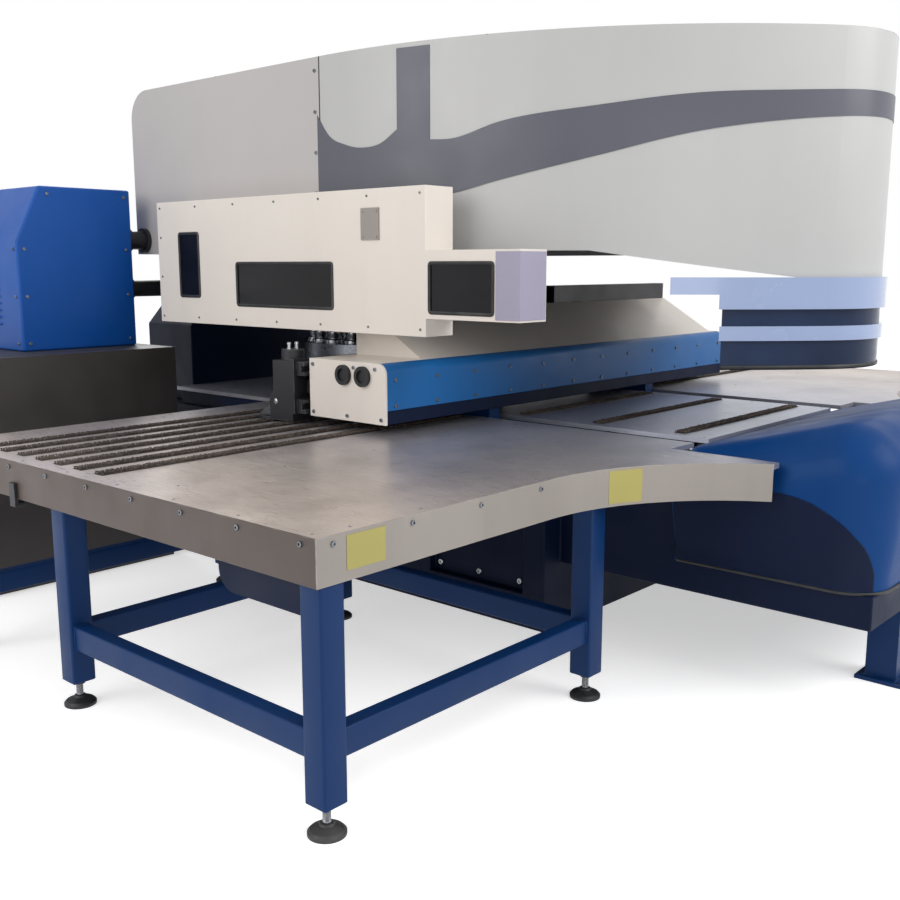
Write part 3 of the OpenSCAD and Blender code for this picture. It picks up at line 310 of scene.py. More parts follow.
# shows where an edge is near: the rounded normal turns away from the flat one there
def edgeMask(tree, radius, patchiness):
    rounded = tree.nodes.new("ShaderNodeBevel")
    rounded.samples = 4  # few rays are enough for a worn edge
    rounded.inputs["Radius"].default_value = radius
    flat = tree.nodes.new("ShaderNodeNewGeometry")
    dot = tree.nodes.new("ShaderNodeVectorMath")
    dot.operation = "DOT_PRODUCT"
    tree.links.new(rounded.outputs["Normal"], dot.inputs[0])
    tree.links.new(flat.outputs["Normal"], dot.inputs[1])
    return combined(tree, "MULTIPLY", span(tree, dot.outputs["Value"], 1, 0, 0.8, 0.99), patchiness)


# distance of a point from a plane across one axis
def distanceFrom(tree, place, axis, at):
    sides = tree.nodes.new("ShaderNodeSeparateXYZ")
    tree.links.new(place, sides.inputs[0])
    return combined(tree, "ABSOLUTE", combined(tree, "SUBTRACT", sides.outputs[axis], at))


# joints between roof sheets: dark where a point lies near one of the planes and at roof height
jointValues = {"half": 0.003, "faded": 0.005, "depth": 0.002, "depthFaded": 0.003, "colour": "3a3a3a"}


def jointMask(tree, place, joints, roofZ):
    total = None
    for axis, at in joints:
        near = span(tree, distanceFrom(tree, place, axis, at), 1, 0, jointValues["half"],
                    jointValues["faded"])
        total = near if total is None else combined(tree, "MAXIMUM", total, near)
    atRoof = span(tree, distanceFrom(tree, place, "Z", roofZ), 1, 0, jointValues["depth"],
                  jointValues["depthFaded"])
    return combined(tree, "MULTIPLY", total, atRoof)


# sprayed paint: cloudy tone, fine orange peel, duller patches and optional wear at the edges; a relief is
# its scale, depth and strength, in every finish
paintValues = {"cloudScale": 1.3, "runScale": 2.2, "runStretch": (3, 3, 0.35), "runGain": 0.6,
               "wearScale": 14, "wearWidth": 0.005, "smearScale": 5, "spread": (-0.07, 0.1),
               "peel": (330, 0.00025, 0.5), "wave": (1.6, 0.004, 0.12)}


def paint(name, digits, rough=0.38, clouds=0.07, coat=0.0, wear=None, streak=0.0, gloss=0.5,
          joints=None):
    finish, tree, shader, place = startFinish(name, 0, coat, gloss)
    tone = noise(tree, place, paintValues["cloudScale"], 4)
    colour = ramp(tree, tone, [(0.3, tint(digits, 1 - clouds)), (0.7, tint(digits, 1 + clouds))])
    if streak:
        runs = noise(tree, place, paintValues["runScale"], 4, paintValues["runStretch"])
        colour = blended(tree, span(tree, runs, 0, streak, 0.5, 0.75), colour,
                         tint(digits, paintValues["runGain"]))
    if wear:
        patch = span(tree, noise(tree, place, paintValues["wearScale"], 5), 0, 1, 0.47, 0.6)
        colour = blended(tree, edgeMask(tree, paintValues["wearWidth"], patch), colour, tint(wear))
    if joints:
        colour = blended(tree, jointMask(tree, place, joints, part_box("casing_rear")[1][2]), colour,
                         tint(jointValues["colour"]))
    tree.links.new(colour, shader.inputs["Base Color"])
    smear = noise(tree, place, paintValues["smearScale"], 5)
    roughened(tree, shader, smear, rough, paintValues["spread"])
    grained(tree, shader, place, *paintValues["peel"])
    grained(tree, shader, place, *paintValues["wave"])
    return finish


# machined steel: fine streaks along one axis, drifting tone and faint stains; the last argument gives a
# painted reflection, a colour that comes in towards the middle of the machine, with its share and the
# limits of its reach
steelValues = {"toneScale": 3.1, "toneGains": (0.82, 1.14), "lineScale": 9, "lineShare": 0.35,
               "lineGain": 0.55, "spotScale": 2.3, "spread": (-0.08, 0.12), "lineRelief": (0.0002, 0.6)}


def steel(name, digits, rough, streaks, stain=None, stained=0.6, metal=1.0, paintedReflection=None):
    finish, tree, shader, place = startFinish(name, metal, 0)
    tone = noise(tree, place, steelValues["toneScale"], 5)
    darker, lighter = steelValues["toneGains"]
    colour = ramp(tree, tone, [(0.3, tint(digits, darker)), (0.7, tint(digits, lighter))])
    lines = noise(tree, place, steelValues["lineScale"], 3, streaks)
    colour = blended(tree, span(tree, lines, 0, steelValues["lineShare"], 0.45, 0.75), colour,
                     tint(digits, steelValues["lineGain"]))
    if stain:
        spots = noise(tree, place, steelValues["spotScale"], 6)
        colour = blended(tree, span(tree, spots, 0, stained, 0.52, 0.72), colour, tint(stain))
    # painted reflection: a pale colour laid on more strongly towards the middle of the machine
    if paintedReflection:
        inwards = span(tree, distanceFrom(tree, place, "X", 0), 0, paintedReflection[1], paintedReflection[2], paintedReflection[3])
        colour = blended(tree, inwards, colour, tint(paintedReflection[0]))
    tree.links.new(colour, shader.inputs["Base Color"])
    roughened(tree, shader, lines, rough, steelValues["spread"])
    bumped(tree, shader, lines, *steelValues["lineRelief"])
    return finish


# hard black rubber or moulded plastic: matt, finely pebbled, with grey dust on it
mouldedValues = {"rough": 0.55, "dust": "6b6864", "dustScale": 6, "dustShare": 0.3, "dullScale": 24,
                 "spread": (-0.12, 0.15), "pebbles": (260, 0.0004, 0.6)}


def moulded(name, digits):
    finish, tree, shader, place = startFinish(name, 0, 0)
    dust = span(tree, noise(tree, place, mouldedValues["dustScale"], 5), 0,
                mouldedValues["dustShare"], 0.5, 0.75)
    colour = blended(tree, dust, tint(digits), tint(mouldedValues["dust"]))
    tree.links.new(colour, shader.inputs["Base Color"])
    dull = noise(tree, place, mouldedValues["dullScale"], 3)
    roughened(tree, shader, dull, mouldedValues["rough"], mouldedValues["spread"])
    grained(tree, shader, place, *mouldedValues["pebbles"])
    return finish


# smoked acrylic: dark and glossy, with wiping smears in its gloss
smokedValues = {"rough": 0.12, "spread": (0, 0.16), "gloss": 0.22, "hazeScale": 2.7,
                "hazeGains": (0.7, 1.5), "wipeScale": 8, "wipeStretch": (1, 0.3, 2.4),
                "wipeRelief": (0.0006, 0.15)}


def smoked(name, digits):
    finish, tree, shader, place = startFinish(name, 0, 0, smokedValues["gloss"])
    haze = noise(tree, place, smokedValues["hazeScale"], 4)
    darker, lighter = smokedValues["hazeGains"]
    colour = ramp(tree, haze, [(0.3, tint(digits, darker)), (0.75, tint(digits, lighter))])
    tree.links.new(colour, shader.inputs["Base Color"])
    wipes = noise(tree, place, smokedValues["wipeScale"], 4, smokedValues["wipeStretch"])
    roughened(tree, shader, wipes, smokedValues["rough"], smokedValues["spread"])
    bumped(tree, shader, wipes, *smokedValues["wipeRelief"])
    return finish


# bristles: dark brown, each bundle a little lighter or darker than the next
bristleValues = {"cells": 90, "dark": "1d1714", "brown": "3b302a", "pale": "6d5f55", "worn": "75675d",
                 "wornScale": 1.9, "wornShare": 0.5, "dullScale": 60, "rough": 0.55, "spread": (0, 0.3),
                 "hairs": (900, 0.0006, 0.8, (1, 1, 0.1))}


def bristleFinish(name):
    finish, tree, shader, place = startFinish(name, 0, 0)
    cells = tree.nodes.new("ShaderNodeTexVoronoi")
    cells.inputs["Scale"].default_value = bristleValues["cells"]
    tree.links.new(place, cells.inputs["Vector"])
    stops = zip((0.1, 0.55, 0.95), (tint(bristleValues[key]) for key in ("dark", "brown", "pale")))
    colour = ramp(tree, cells.outputs["Color"], list(stops))
    worn = span(tree, noise(tree, place, bristleValues["wornScale"], 5), 0,
                bristleValues["wornShare"], 0.45, 0.7)
    tree.links.new(blended(tree, worn, colour, tint(bristleValues["worn"])),
                   shader.inputs["Base Color"])
    dull = noise(tree, place, bristleValues["dullScale"], 2)
    roughened(tree, shader, dull, bristleValues["rough"], bristleValues["spread"])
    grained(tree, shader, place, *bristleValues["hairs"])
    return finish


# one finish for each material slot of the record
finishes = {
    "leg_navy": paint("legPaint", "042e5f", 0.42, 0.12, wear="5f6a78", gloss=0.2),
    "deep_navy": paint("basePaint", "061430", 0.5, 0.12, wear="353d50", streak=0.3, gloss=0.15),
    "hood_blue": paint("hoodPaint", "0a4fa2", 0.38, 0.06, coat=0.05, gloss=0.25),
    "housing_blue": paint("frontPaint", "043a74", 0.48, 0.1, coat=0.03, gloss=0.14),
    "beam_blue": paint("beamPaint", "17609f", 0.38, 0.08, coat=0.06, gloss=0.3),
    "cream": paint("creamPaint", "e3dbd2", 0.36, 0.035, streak=0.07),
    "casing_grey": paint("casingPaint", "b8b8b7", 0.4, 0.03, streak=0.05,
                         joints=[("Y", 0.255), ("Y", -0.62), ("X", 0.0)]),
    "stripe_slate": paint("stripePaint", "53545f", 0.36, 0.06),
    # lilac grey: the housing's cream with painted shade, a shaded copy of it
    "lilac_grey": paint("shadedCreamPaint", "9c97ab", 0.36, 0.05),
    "apron_brown": paint("brownApron", "4c403b", 0.42, 0.12, wear="8d847c", streak=0.35),
    "apron_grey": paint("greyApron", "948d87", 0.4, 0.08, wear="b9b4ae", streak=0.25),
    "field_yellow": paint("yellowField", "a69d58", 0.5, 0.1, wear="8f8a86"),
    # the pale blue that comes in towards the middle of the table is a painted reflection
    "table_steel": steel("tableSteel", "c9bdb5", 0.34, (26, 1.2, 26), "85746a", 0.45, 0.72,
                         paintedReflection=("a3aec6", 0.7, 2.5, 0.5)),
    "bristle": bristleFinish("bristles"),
    "black_part": moulded("blackRubber", "17181b"),
    "smoked": smoked("smokedPane", "121216"),
    "ground_steel": steel("groundSteel", "b9bbbf", 0.22, (30, 30, 2)),
    "tool_steel": steel("toolSteel", "868a90", 0.32, (8, 8, 8)),
    "clamp_black": paint("clampPaint", "1a1b20", 0.42, 0.2, wear="70757c"),
    "cabinet_dark": paint("cabinetPaint", "353130", 0.45, 0.12, streak=0.2),
}
# nodes whose finish differs from the others in their slot
nodeFinishes = {
    "visor_pane": smoked("smokedVisor", "1a2944"),
    # the trim's pale lavender blue is partly its blue paint and partly a painted highlight, lightened
    # towards its sheen
    "visor_trim": paint("visorPaintAndSheen", "93a4c8", 0.2, 0.06, coat=0.8),
    "casing_rear": paint("rearCasingPaint", "b8b4b3", 0.4, 0.03, streak=0.05,
                         joints=[("Y", 0.255), ("Y", 1.04), ("X", 0.0)]),
}

nodeSlots = {part["node"]: part["material_slot"] for part in frame["record"]["subparts"]}
for nodeName, cadNode in frame["nodes"].items():
    cadNode.data.materials.clear()
    cadNode.data.materials.append(nodeFinishes.get(nodeName, finishes[nodeSlots[nodeName]]))
print("finishes made:", len(finishes))


# pieces

# shapes as one smooth mesh with sharp edges over the given angle, riding on a body of the frame
def makePiece(name, shapes, slotName, body, smooth=35, nodes=()):
    whole = joined(shapes)
    mesh = bpy.data.meshes.new(name)
    mesh.from_pydata(whole["points"].tolist(), [], whole["quads"].tolist() + whole["tris"].tolist())
    work = bmesh.new()
    work.from_mesh(mesh)
    bmesh.ops.remove_doubles(work, verts=work.verts, dist=1e-6)
    bmesh.ops.recalc_face_normals(work, faces=work.faces)
    work.to_mesh(mesh)
    work.free()
    mesh.shade_smooth()
    mesh.set_sharp_from_angle(angle=math.radians(smooth))
    mesh.materials.append(finishes[slotName])
    piece = bpy.data.objects.new(name, mesh)
    scene.collection.objects.link(piece)
    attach(piece, body)
    if nodes:
        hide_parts(*nodes)
    print(name, len(whole["quads"]) * 2 + len(whole["tris"]), "triangles")


bodyOf = {node: body for body, nodes in frame["record"]["behaviour"]["bodies"].items() for node in nodes}


# copy of a solid whose corners are eased by a small bevel, as bent sheet and sawn bar have
def easedCopy(node, width):
    mesh = bpy.data.meshes.new(node + "_eased")
    work = bmesh.new()
    work.from_mesh(frame["nodes"][node].data)
    bmesh.ops.remove_doubles(work, verts=work.verts, dist=1e-5)
    bmesh.ops.dissolve_limit(work, angle_limit=math.radians(0.5), verts=work.verts,
                             edges=work.edges)
    work.to_mesh(mesh)
    work.free()
    for layer in ("custom_normal", "sharp_face", "sharp_edge"):
        if layer in mesh.attributes:
            mesh.attributes.remove(mesh.attributes[layer])
    mesh.shade_smooth()
    mesh.materials.clear()
    mesh.materials.append(nodeFinishes.get(node, finishes[nodeSlots[node]]))
    piece = bpy.data.objects.new(node + "_eased", mesh)
    scene.collection.objects.link(piece)
    ease = piece.modifiers.new("easedEdges", "BEVEL")
    ease.width = width
    ease.segments = 2
    ease.limit_method = "ANGLE"
    ease.angle_limit = math.radians(32)  # a swept wall's facets meet at less
    ease.harden_normals = True
    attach(piece, bodyOf[node])
    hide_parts(node)


easedWidths = {
    "beam_top_cover": 0.0025, "beam_front_cover": 0.0025, "cross_beam": 0.004,
    "drive_hood": 0.012, "cabinet": 0.004, "cabinet_door": 0.003, "pedestals": 0.004,
    "base_frame": 0.008, "rear_column": 0.008, "upper_arm": 0.008, "casing_posts": 0.004,
    "side_housing": 0.0022, "housing_end_panel": 0.0015, "housing_cover": 0.0012,
    "apron_hooks": 0.002, "table_bearers": 0.004, "y_saddles": 0.003, "cable_trough": 0.0015,
    "x_screw_bearings": 0.003, "y_screw_bearings": 0.003, "cabinet_gear": 0.002,
    "front_aprons": 0.0012, "side_aprons": 0.0012, "visor_trim": 0.014, "beam_end_plates": 0.002,
    "clamp_bodies": 0.0025, "jaw_left": 0.0015, "jaw_middle": 0.0015, "jaw_right": 0.0015,
    "x_carriage": 0.0015, "door_handle": 0.002,
}
for nodeName, width in easedWidths.items():
    easedCopy(nodeName, width)
print("eased copies made:", len(easedWidths))


# box of every separate solid in a node, from the points that its edges connect
def solidBoxes(node):
    work = bmesh.new()
    work.from_mesh(frame["nodes"][node].data)
    bmesh.ops.remove_doubles(work, verts=work.verts, dist=1e-5)
    seen, boxes = set(), []
    for start in work.verts:
        if start.index in seen:
            continue
        seen.add(start.index)
        group, found = [start], []
        while group:
            vertex = group.pop()
            found.append(tuple(vertex.co))
            for edge in vertex.link_edges:
                other = edge.other_vert(vertex)
                if other.index not in seen:
                    seen.add(other.index)
                    group.append(other)
        found = np.array(found)
        boxes.append((found.min(0), found.max(0)))
    work.free()
    return boxes


# legs and rails as drawn tube with rounded corners
tubeValues = {"legCorner": 0.009, "railCorner": 0.007}
legBoxes = solidBoxes("table_legs")
makePiece("leg_tubes", [roundedBar(a, b, 2, tubeValues["legCorner"]) for a, b in legBoxes],
          "leg_navy", "frame", nodes=("table_legs",))
lowRails = solidBoxes("lower_rails")
topRails = solidBoxes("table_top_rails")


# a rail lies along the longest side of its box
def railBar(low, high):
    return roundedBar(low, high, int(np.argmax(high - low)), tubeValues["railCorner"])


makePiece("lower_rail_tubes", [railBar(a, b) for a, b in lowRails], "leg_navy", "frame",
          nodes=("lower_rails",))
makePiece("top_rail_tubes", [railBar(a, b) for a, b in topRails], "deep_navy", "frame",
          nodes=("table_top_rails",))


# brush rows: tufts stand on a grid whose every other row is shifted by half a pitch; each is a short
# four-sided cone, wider at its tip, turned and leaned by chance
brushValues = {"pitch": 0.0098, "rows": 5, "foot": 0.0021, "tip": 0.0042, "lean": 0.0016, "seed": 11,
               "ragged": 0.0018, "rowShift": 0.0004, "fromSide": 0.008, "fromStart": 0.006,
               "fromEnd": 0.004, "stopShort": 0.005, "sideTableX": 0.66, "holderProud": 0.001,
               "holderCorner": 0.0012}


def brushRows():
    chance = np.random.default_rng(brushValues["seed"])
    pitch, rowCount, sideX = (brushValues[key] for key in ("pitch", "rows", "sideTableX"))
    holders = {"left": [], "right": [], "middle": []}
    tufts = {"left": [], "right": [], "middle": []}
    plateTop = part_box("centre_table")[1][2]
    sides = np.array([[1, 1], [-1, 1], [-1, -1], [1, -1]]) * 0.7071  # corners one unit from the middle
    for low, high in solidBoxes("brush_strips"):
        where = "left" if high[0] < -sideX else "right" if low[0] > sideX else "middle"
        holderTop = (high[0], high[1], plateTop + brushValues["holderProud"])
        holders[where].append(roundedBar(low, holderTop, 0, brushValues["holderCorner"], 3))
        across = np.linspace(low[1] + brushValues["fromSide"], high[1] - brushValues["fromSide"], rowCount)
        along = np.arange(low[0] + brushValues["fromStart"], high[0] - brushValues["stopShort"], pitch)
        x, y = np.meshgrid(along, across, indexing="ij")
        x = x + (np.arange(rowCount) % 2) * pitch / 2
        root = np.stack([x.ravel(), y.ravel()], -1)
        root = root[root[:, 0] < high[0] - brushValues["fromEnd"]]
        root = root + chance.normal(0, brushValues["rowShift"], (1, 2))
        count = len(root)
        lean = chance.normal(0, brushValues["lean"], (count, 2))
        top = high[2] - chance.uniform(0, brushValues["ragged"], count)
        turn = chance.uniform(0, math.pi / 2, count)
        spin = np.stack([np.stack([np.cos(turn), np.sin(turn)], -1),
                         np.stack([-np.sin(turn), np.cos(turn)], -1)], 1)
        corners = np.einsum("kc,ncd->nkd", sides, spin)
        lowRing = root[:, None] + corners * brushValues["foot"]
        highRing = root[:, None] + lean[:, None] + corners * brushValues["tip"]
        lowRing = np.concatenate([lowRing, np.full((count, 4, 1), plateTop)], -1)
        highRing = np.concatenate([highRing, np.repeat(top[:, None, None], 4, 1)], -1)
        points = np.concatenate([lowRing, highRing], 1)
        wall = np.array([[0, 1, 5, 4], [1, 2, 6, 5], [2, 3, 7, 6], [3, 0, 4, 7], [4, 5, 6, 7],
                         [3, 2, 1, 0]])
        tufts[where].append(shape(points, wall[None] + 8 * np.arange(count)[:, None, None]))
    return holders, tufts


brushHolders, brushTufts = brushRows()
for where in ("left", "middle", "right"):
    makePiece("bristles_" + where, brushTufts[where], "bristle", "frame", 60)
makePiece("brush_holders", brushHolders["left"] + brushHolders["middle"] + brushHolders["right"],
          "black_part", "frame", nodes=("brush_strips",))


# front housing: upright arcs round the corner centres of its plan; their centre sinks towards the table
housingValues = {"radius": 0.2, "footRadius": 0.16, "footHeight": 0.06, "rearTop": 0.874, "crown": 0.05,
                 "steps": 16, "sideSteps": 6}
housingLow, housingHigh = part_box("front_housing")
housingHalf = housingHigh[0] - housingValues["radius"]
housingFrontY = housingLow[1] + housingValues["radius"]


# centre height and stretch of the arc at a distance behind the front corners
def housingCentre(back):
    slope = (housingHigh[2] - housingValues["rearTop"]) / (housingHigh[1] - housingFrontY)
    stretch = 1 + (math.hypot(1, slope) - 1) * min(back / housingValues["crown"], 1)
    return housingHigh[2] - housingValues["radius"] - slope * back, stretch


# points at given heights: out from the corner by a straight wall below the centre, by a circle above it
def housingColumn(back, azimuth, heights, grow=0.0):
    radius = housingValues["radius"]
    centre, stretch = housingCentre(back)
    wall = np.interp(heights, [housingLow[2] + housingValues["footHeight"], centre],
                     [housingValues["footRadius"], radius])
    above = np.clip((heights - centre) / (stretch * radius), 0, 1)
    out = np.where(heights < centre, wall, radius * np.sqrt(1 - above ** 2)) + grow
    return np.stack([-housingHalf - out * math.cos(azimuth),
                     housingFrontY + back - out * math.sin(azimuth), heights + 0 * out], -1)


# shell of columns: first from the table to the front, then round the corner, each one mirrored on the right
def frontHousing():
    depth = housingHigh[1] - housingFrontY
    quarter = np.linspace(0, math.pi / 2, housingValues["steps"])
    stations = [(back, 0) for back in np.linspace(depth, housingValues["crown"],
                                                  housingValues["sideSteps"])]
    stations += [(0, azimuth) for azimuth in quarter]
    rise = np.sin(quarter)
    foot = housingLow[2] + np.array([0, housingValues["footHeight"]])
    rows = []
    for back, azimuth in stations:
        centre, stretch = housingCentre(back)
        left = housingColumn(back, azimuth,
                             np.concatenate([foot, centre + stretch * housingValues["radius"] * rise]))
        rows.append(np.concatenate([left, left[::-1] * (-1, 1, 1)]))
    grid = gridShape(np.array(rows))
    wide = len(rows[0])
    across = np.arange(wide // 2 - 1)
    along = np.arange(len(rows) - 1) * wide
    front = (len(rows) - 1) * wide
    ends = [np.stack([start + across, start + across + 1, start + wide - 2 - across,
                      start + wide - 1 - across], -1) for start in (0, front)]
    under = np.stack([along, along + wide, along + 2 * wide - 1, along + wide - 1], -1)
    return shape(grid["points"], np.concatenate([grid["quads"], *ends, under]))


# side panels of the housing, dark sheets that paint the shade and dark reflection on its sides: the same
# columns a little further out, up to an edge that drops at the front
shadePanelValues = {
    "proud": 0.003, "sink": 0.002, "foot": 0.442, "rearGap": 0.004, "frontGap": 0.01, "wrap": 0.95,
    "sideSteps": 30, "cornerSteps": 40, "heightSteps": 12,
    "edge": [(-2.3, 0.46), (-2.27, 0.56), (-2.2, 0.66), (-2.12, 0.72), (-2.03, 0.762), (-1.92, 0.779),
             (-1.7, 0.78), (-1.48, 0.78)],
}


def housingShadePanel(side):
    depth = housingHigh[1] - housingFrontY - shadePanelValues["rearGap"]
    stations = [(back, 0) for back in np.linspace(depth, shadePanelValues["frontGap"],
                                                  shadePanelValues["sideSteps"])]
    stations += [(0, azimuth) for azimuth in np.linspace(0, shadePanelValues["wrap"],
                                                         shadePanelValues["cornerSteps"])]
    rows = []
    for back, azimuth in stations:
        y = housingFrontY + back - housingValues["radius"] * math.sin(azimuth)
        top = float(smoothLine(shadePanelValues["edge"], y))
        heights = np.linspace(shadePanelValues["foot"], top, shadePanelValues["heightSteps"])
        outer = housingColumn(back, azimuth, heights, shadePanelValues["proud"])
        inner = housingColumn(back, azimuth, heights[::-1], -shadePanelValues["sink"])
        rows.append(np.concatenate([outer, inner]) * (-side, 1, 1))
    return ringStack(np.array(rows))


makePiece("front_housing_shell", [frontHousing()], "housing_blue", "frame", 40,
          nodes=("front_housing",))
# the dark side panels are painted shade and painted reflection laid over the housing's blue
makePiece("front_housing_shade_panels", [housingShadePanel(side) for side in (-1, 1)], "deep_navy", "frame", 40)


# screws: rows of socket heads on the faces that they hold
screwValues = {"small": (0.0055, 0.0036), "middle": (0.0085, 0.006), "large": (0.014, 0.009)}


# points from start to end, about one gap apart
def row(start, end, gap):
    start, end = np.asarray(start, float), np.asarray(end, float)
    count = max(2, int(round(np.linalg.norm(end - start) / gap)) + 1)
    return start + (end - start) * np.linspace(0, 1, count)[:, None]


# a row that starts at a point and runs along one axis to an end, with the way its heads face
def line(facing, start, axis, end, gap):
    stop = list(start)
    stop[axis] = end
    return facing, row(start, stop, gap)


# one piece with heads of one size, from pairs of a direction and the places of its heads
def screws(name, body, size, rows):
    head = screwHead(*screwValues[size])
    makePiece(name, [stamped(head, places, direction) for direction, places in rows],
              "ground_steel" if size == "large" else "tool_steel", body)


apronScrews = {"below": 0.024, "fromFront": 0.06, "fromRear": 0.08, "fromSide": 0.06, "gap": 0.28,
               "rearFrom": 1.08, "frontFrom": 1.82, "frontProud": 0.004, "frontGap": 0.3}
apronLow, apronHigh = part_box("side_aprons")
screwZ = apronHigh[2] - apronScrews["below"]
frontY = apronLow[1] - apronScrews["frontProud"]
apronRows = []
for side in (-1, 1):
    edge = side * apronHigh[0]
    corner = edge - side * apronScrews["fromSide"]
    apronRows += [
        line((side, 0, 0), (edge, apronLow[1] + apronScrews["fromFront"], screwZ), 1,
             apronHigh[1] - apronScrews["fromRear"], apronScrews["gap"]),
        line((0, 1, 0), (side * apronScrews["rearFrom"], apronHigh[1], screwZ), 0, corner,
             apronScrews["gap"]),
        line((0, -1, 0), (side * apronScrews["frontFrom"], frontY, screwZ), 0, corner,
             apronScrews["frontGap"]),
    ]
screws("apron_screws", "frame", "middle", apronRows)

beamScrews = {"fromEnd": 0.05, "up": 0.02, "down": 0.07, "gap": 0.26, "rearFrom": -1.15, "rearTo": 1.39,
              "rearZ": 1.225, "rearGap": 0.28, "plateLow": (0.962, (-0.4, -0.19, 0.03)),
              "plateHigh": (1.175, (-0.365, -0.233, 0.03))}
coverLow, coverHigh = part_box("beam_front_cover")
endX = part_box("beam_end_plates")[1][0]
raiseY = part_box("beam_top_cover")[1][1]
beamRows = [line((0, -1, 0), (coverLow[0] + beamScrews["fromEnd"], coverLow[1], z), 0,
                 coverHigh[0] - beamScrews["fromEnd"], beamScrews["gap"])
            for z in (coverLow[2] + beamScrews["up"], coverHigh[2] - beamScrews["down"])]
beamRows.append(line((0, 1, 0), (beamScrews["rearFrom"], raiseY, beamScrews["rearZ"]), 0,
                     beamScrews["rearTo"], beamScrews["rearGap"]))
for side in (-1, 1):
    beamRows.append(((side, 0, 0), [(side * endX, y, z)
                                    for z, ys in (beamScrews["plateLow"], beamScrews["plateHigh"])
                                    for y in ys]))
screws("beam_screws", "beam", "middle", beamRows)

casingScrews = {"up": 0.035, "fromSeam": 0.05, "fromRear": 0.08, "gap": 0.22, "besideSeam": 0.03,
                "seamLow": 1.76, "seamHigh": 2.49, "seamGap": 0.18, "rearZ": 1.71, "rearGap": 0.25,
                "rearX": (0.65, 1.15)}
casingLow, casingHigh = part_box("casing_rear")
wallX, seamY = casingHigh[0], casingLow[1]
lowRowZ = casingLow[2] + casingScrews["up"]
casingRows = []
for side in (-1, 1):
    x = side * wallX
    casingRows += [
        line((side, 0, 0), (x, seamY + casingScrews["fromSeam"], lowRowZ), 1,
             casingHigh[1] - casingScrews["fromRear"], casingScrews["gap"]),
        line((side, 0, 0), (x, seamY + casingScrews["besideSeam"], casingScrews["seamLow"]), 2,
             casingScrews["seamHigh"], casingScrews["seamGap"]),
    ]
near, far = casingScrews["rearX"]
casingRows += [line((0, 1, 0), (start, casingHigh[1], casingScrews["rearZ"]), 0, end,
                    casingScrews["rearGap"]) for start, end in ((-far, -near), (near, far))]
screws("casing_screws", "frame", "middle", casingRows)

sideScrews = {"inset": 0.03, "sideFrom": -0.535, "gap": 0.315, "edgeLow": 1.55, "edgeHigh": 1.75,
              "edgeGap": 0.2, "rearX": -1.315, "rearLow": 1.37, "rearHigh": 1.88, "rearGap": 0.25}
boxLow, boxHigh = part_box("side_housing")
lastY = boxHigh[1] - sideScrews["inset"]
housingRows = [line((-1, 0, 0), (boxLow[0], sideScrews["sideFrom"], z), 1, lastY, sideScrews["gap"])
               for z in (boxLow[2] + sideScrews["inset"], boxHigh[2] - sideScrews["inset"])]
housingRows.append(line((-1, 0, 0), (boxLow[0], lastY, sideScrews["edgeLow"]), 2,
                        sideScrews["edgeHigh"], sideScrews["edgeGap"]))
housingRows.append(line((0, 1, 0), (sideScrews["rearX"], boxHigh[1], sideScrews["rearLow"]), 2,
                        sideScrews["rearHigh"], sideScrews["rearGap"]))
screws("housing_screws", "frame", "small", housingRows)

hoodScrews = {"levels": (1.21, 1.45, 1.69), "inset": 0.04, "pastCutCorner": 0.18}
hoodLow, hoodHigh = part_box("drive_hood")
inset = hoodScrews["inset"]
hoodRows = [((0, -1, 0), [(x, hoodLow[1], hoodHigh[2] - inset)
                          for x in (hoodLow[0] + hoodScrews["pastCutCorner"], hoodHigh[0] - inset)])]
for side, x, y in ((-1, hoodLow[0], hoodLow[1]), (1, hoodHigh[0], hoodHigh[1])):
    hoodRows.append(((0, side, 0), [(at, y, z) for at in (hoodLow[0] + inset, hoodHigh[0] - inset)
                                    for z in hoodScrews["levels"]]))
    hoodRows.append(((side, 0, 0), [(x, at, z) for at in (hoodLow[1] + inset, hoodHigh[1] - inset)
                                    for z in hoodScrews["levels"]]))
screws("hood_screws", "frame", "middle", hoodRows)

baseScrews = {"x": 0.96, "fields": (-0.775, 0.5, 1.45), "along": (0.04, 0.28, 0.52), "levels": (0.2, 0.56)}
screws("base_screws", "frame", "large",
       [((side, 0, 0), [(side * baseScrews["x"], start + y, z) for y in baseScrews["along"]
                        for z in baseScrews["levels"]])
        for side in (-1, 1) for start in baseScrews["fields"]])

carriageScrews = {"inset": 0.03, "places": (-1.3, -1.115, -0.93, -0.6, -0.415, -0.23)}
plateLow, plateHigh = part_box("x_carriage")
screws("carriage_screws", "carriage", "middle",
       [((0, 1, 0), [(x, plateHigh[1], z) for z in (plateLow[2] + carriageScrews["inset"],
                                                    plateHigh[2] - carriageScrews["inset"])
                     for x in carriageScrews["places"]])])

# screws sunk in the tables: rows along the edges of a side table, and two rows on the centre table
tableScrews = {
    "proud": 0.0012, "middleX": 0.615, "middleY": (-1.44, 0.45), "middleGap": 0.38,
    "rows": (((2.785, -1.43), (2.785, 0.84), 0.32), ((2.66, 0.845), (1.08, 0.845), 0.32),
             ((2.66, -1.445), (1.8, -1.445), 0.32), ((2.66, -0.62), (0.86, -0.62), 0.45)),
}
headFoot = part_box("centre_table")[1][2] - screwValues["small"][1] + tableScrews["proud"]
tableRows = [((0, 0, 1), row((side * start[0], start[1], headFoot), (side * end[0], end[1], headFoot), gap))
             for side in (-1, 1) for start, end, gap in tableScrews["rows"]]
firstY, endY = tableScrews["middleY"]
tableRows += [((0, 0, 1), row((x, firstY, headFoot), (x, endY, headFoot), tableScrews["middleGap"]))
              for x in (-tableScrews["middleX"], tableScrews["middleX"])]
screws("table_screws", "frame", "small", tableRows)

# the column is bolted to the base along its rear foot
columnBolts = {"reach": 0.7, "gap": 0.2, "levels": (0.86, 0.93)}
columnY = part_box("rear_column")[1][1]
screws("column_bolts", "frame", "large",
       [line((0, 1, 0), (-columnBolts["reach"], columnY, z), 0, columnBolts["reach"], columnBolts["gap"])
        for z in columnBolts["levels"]])

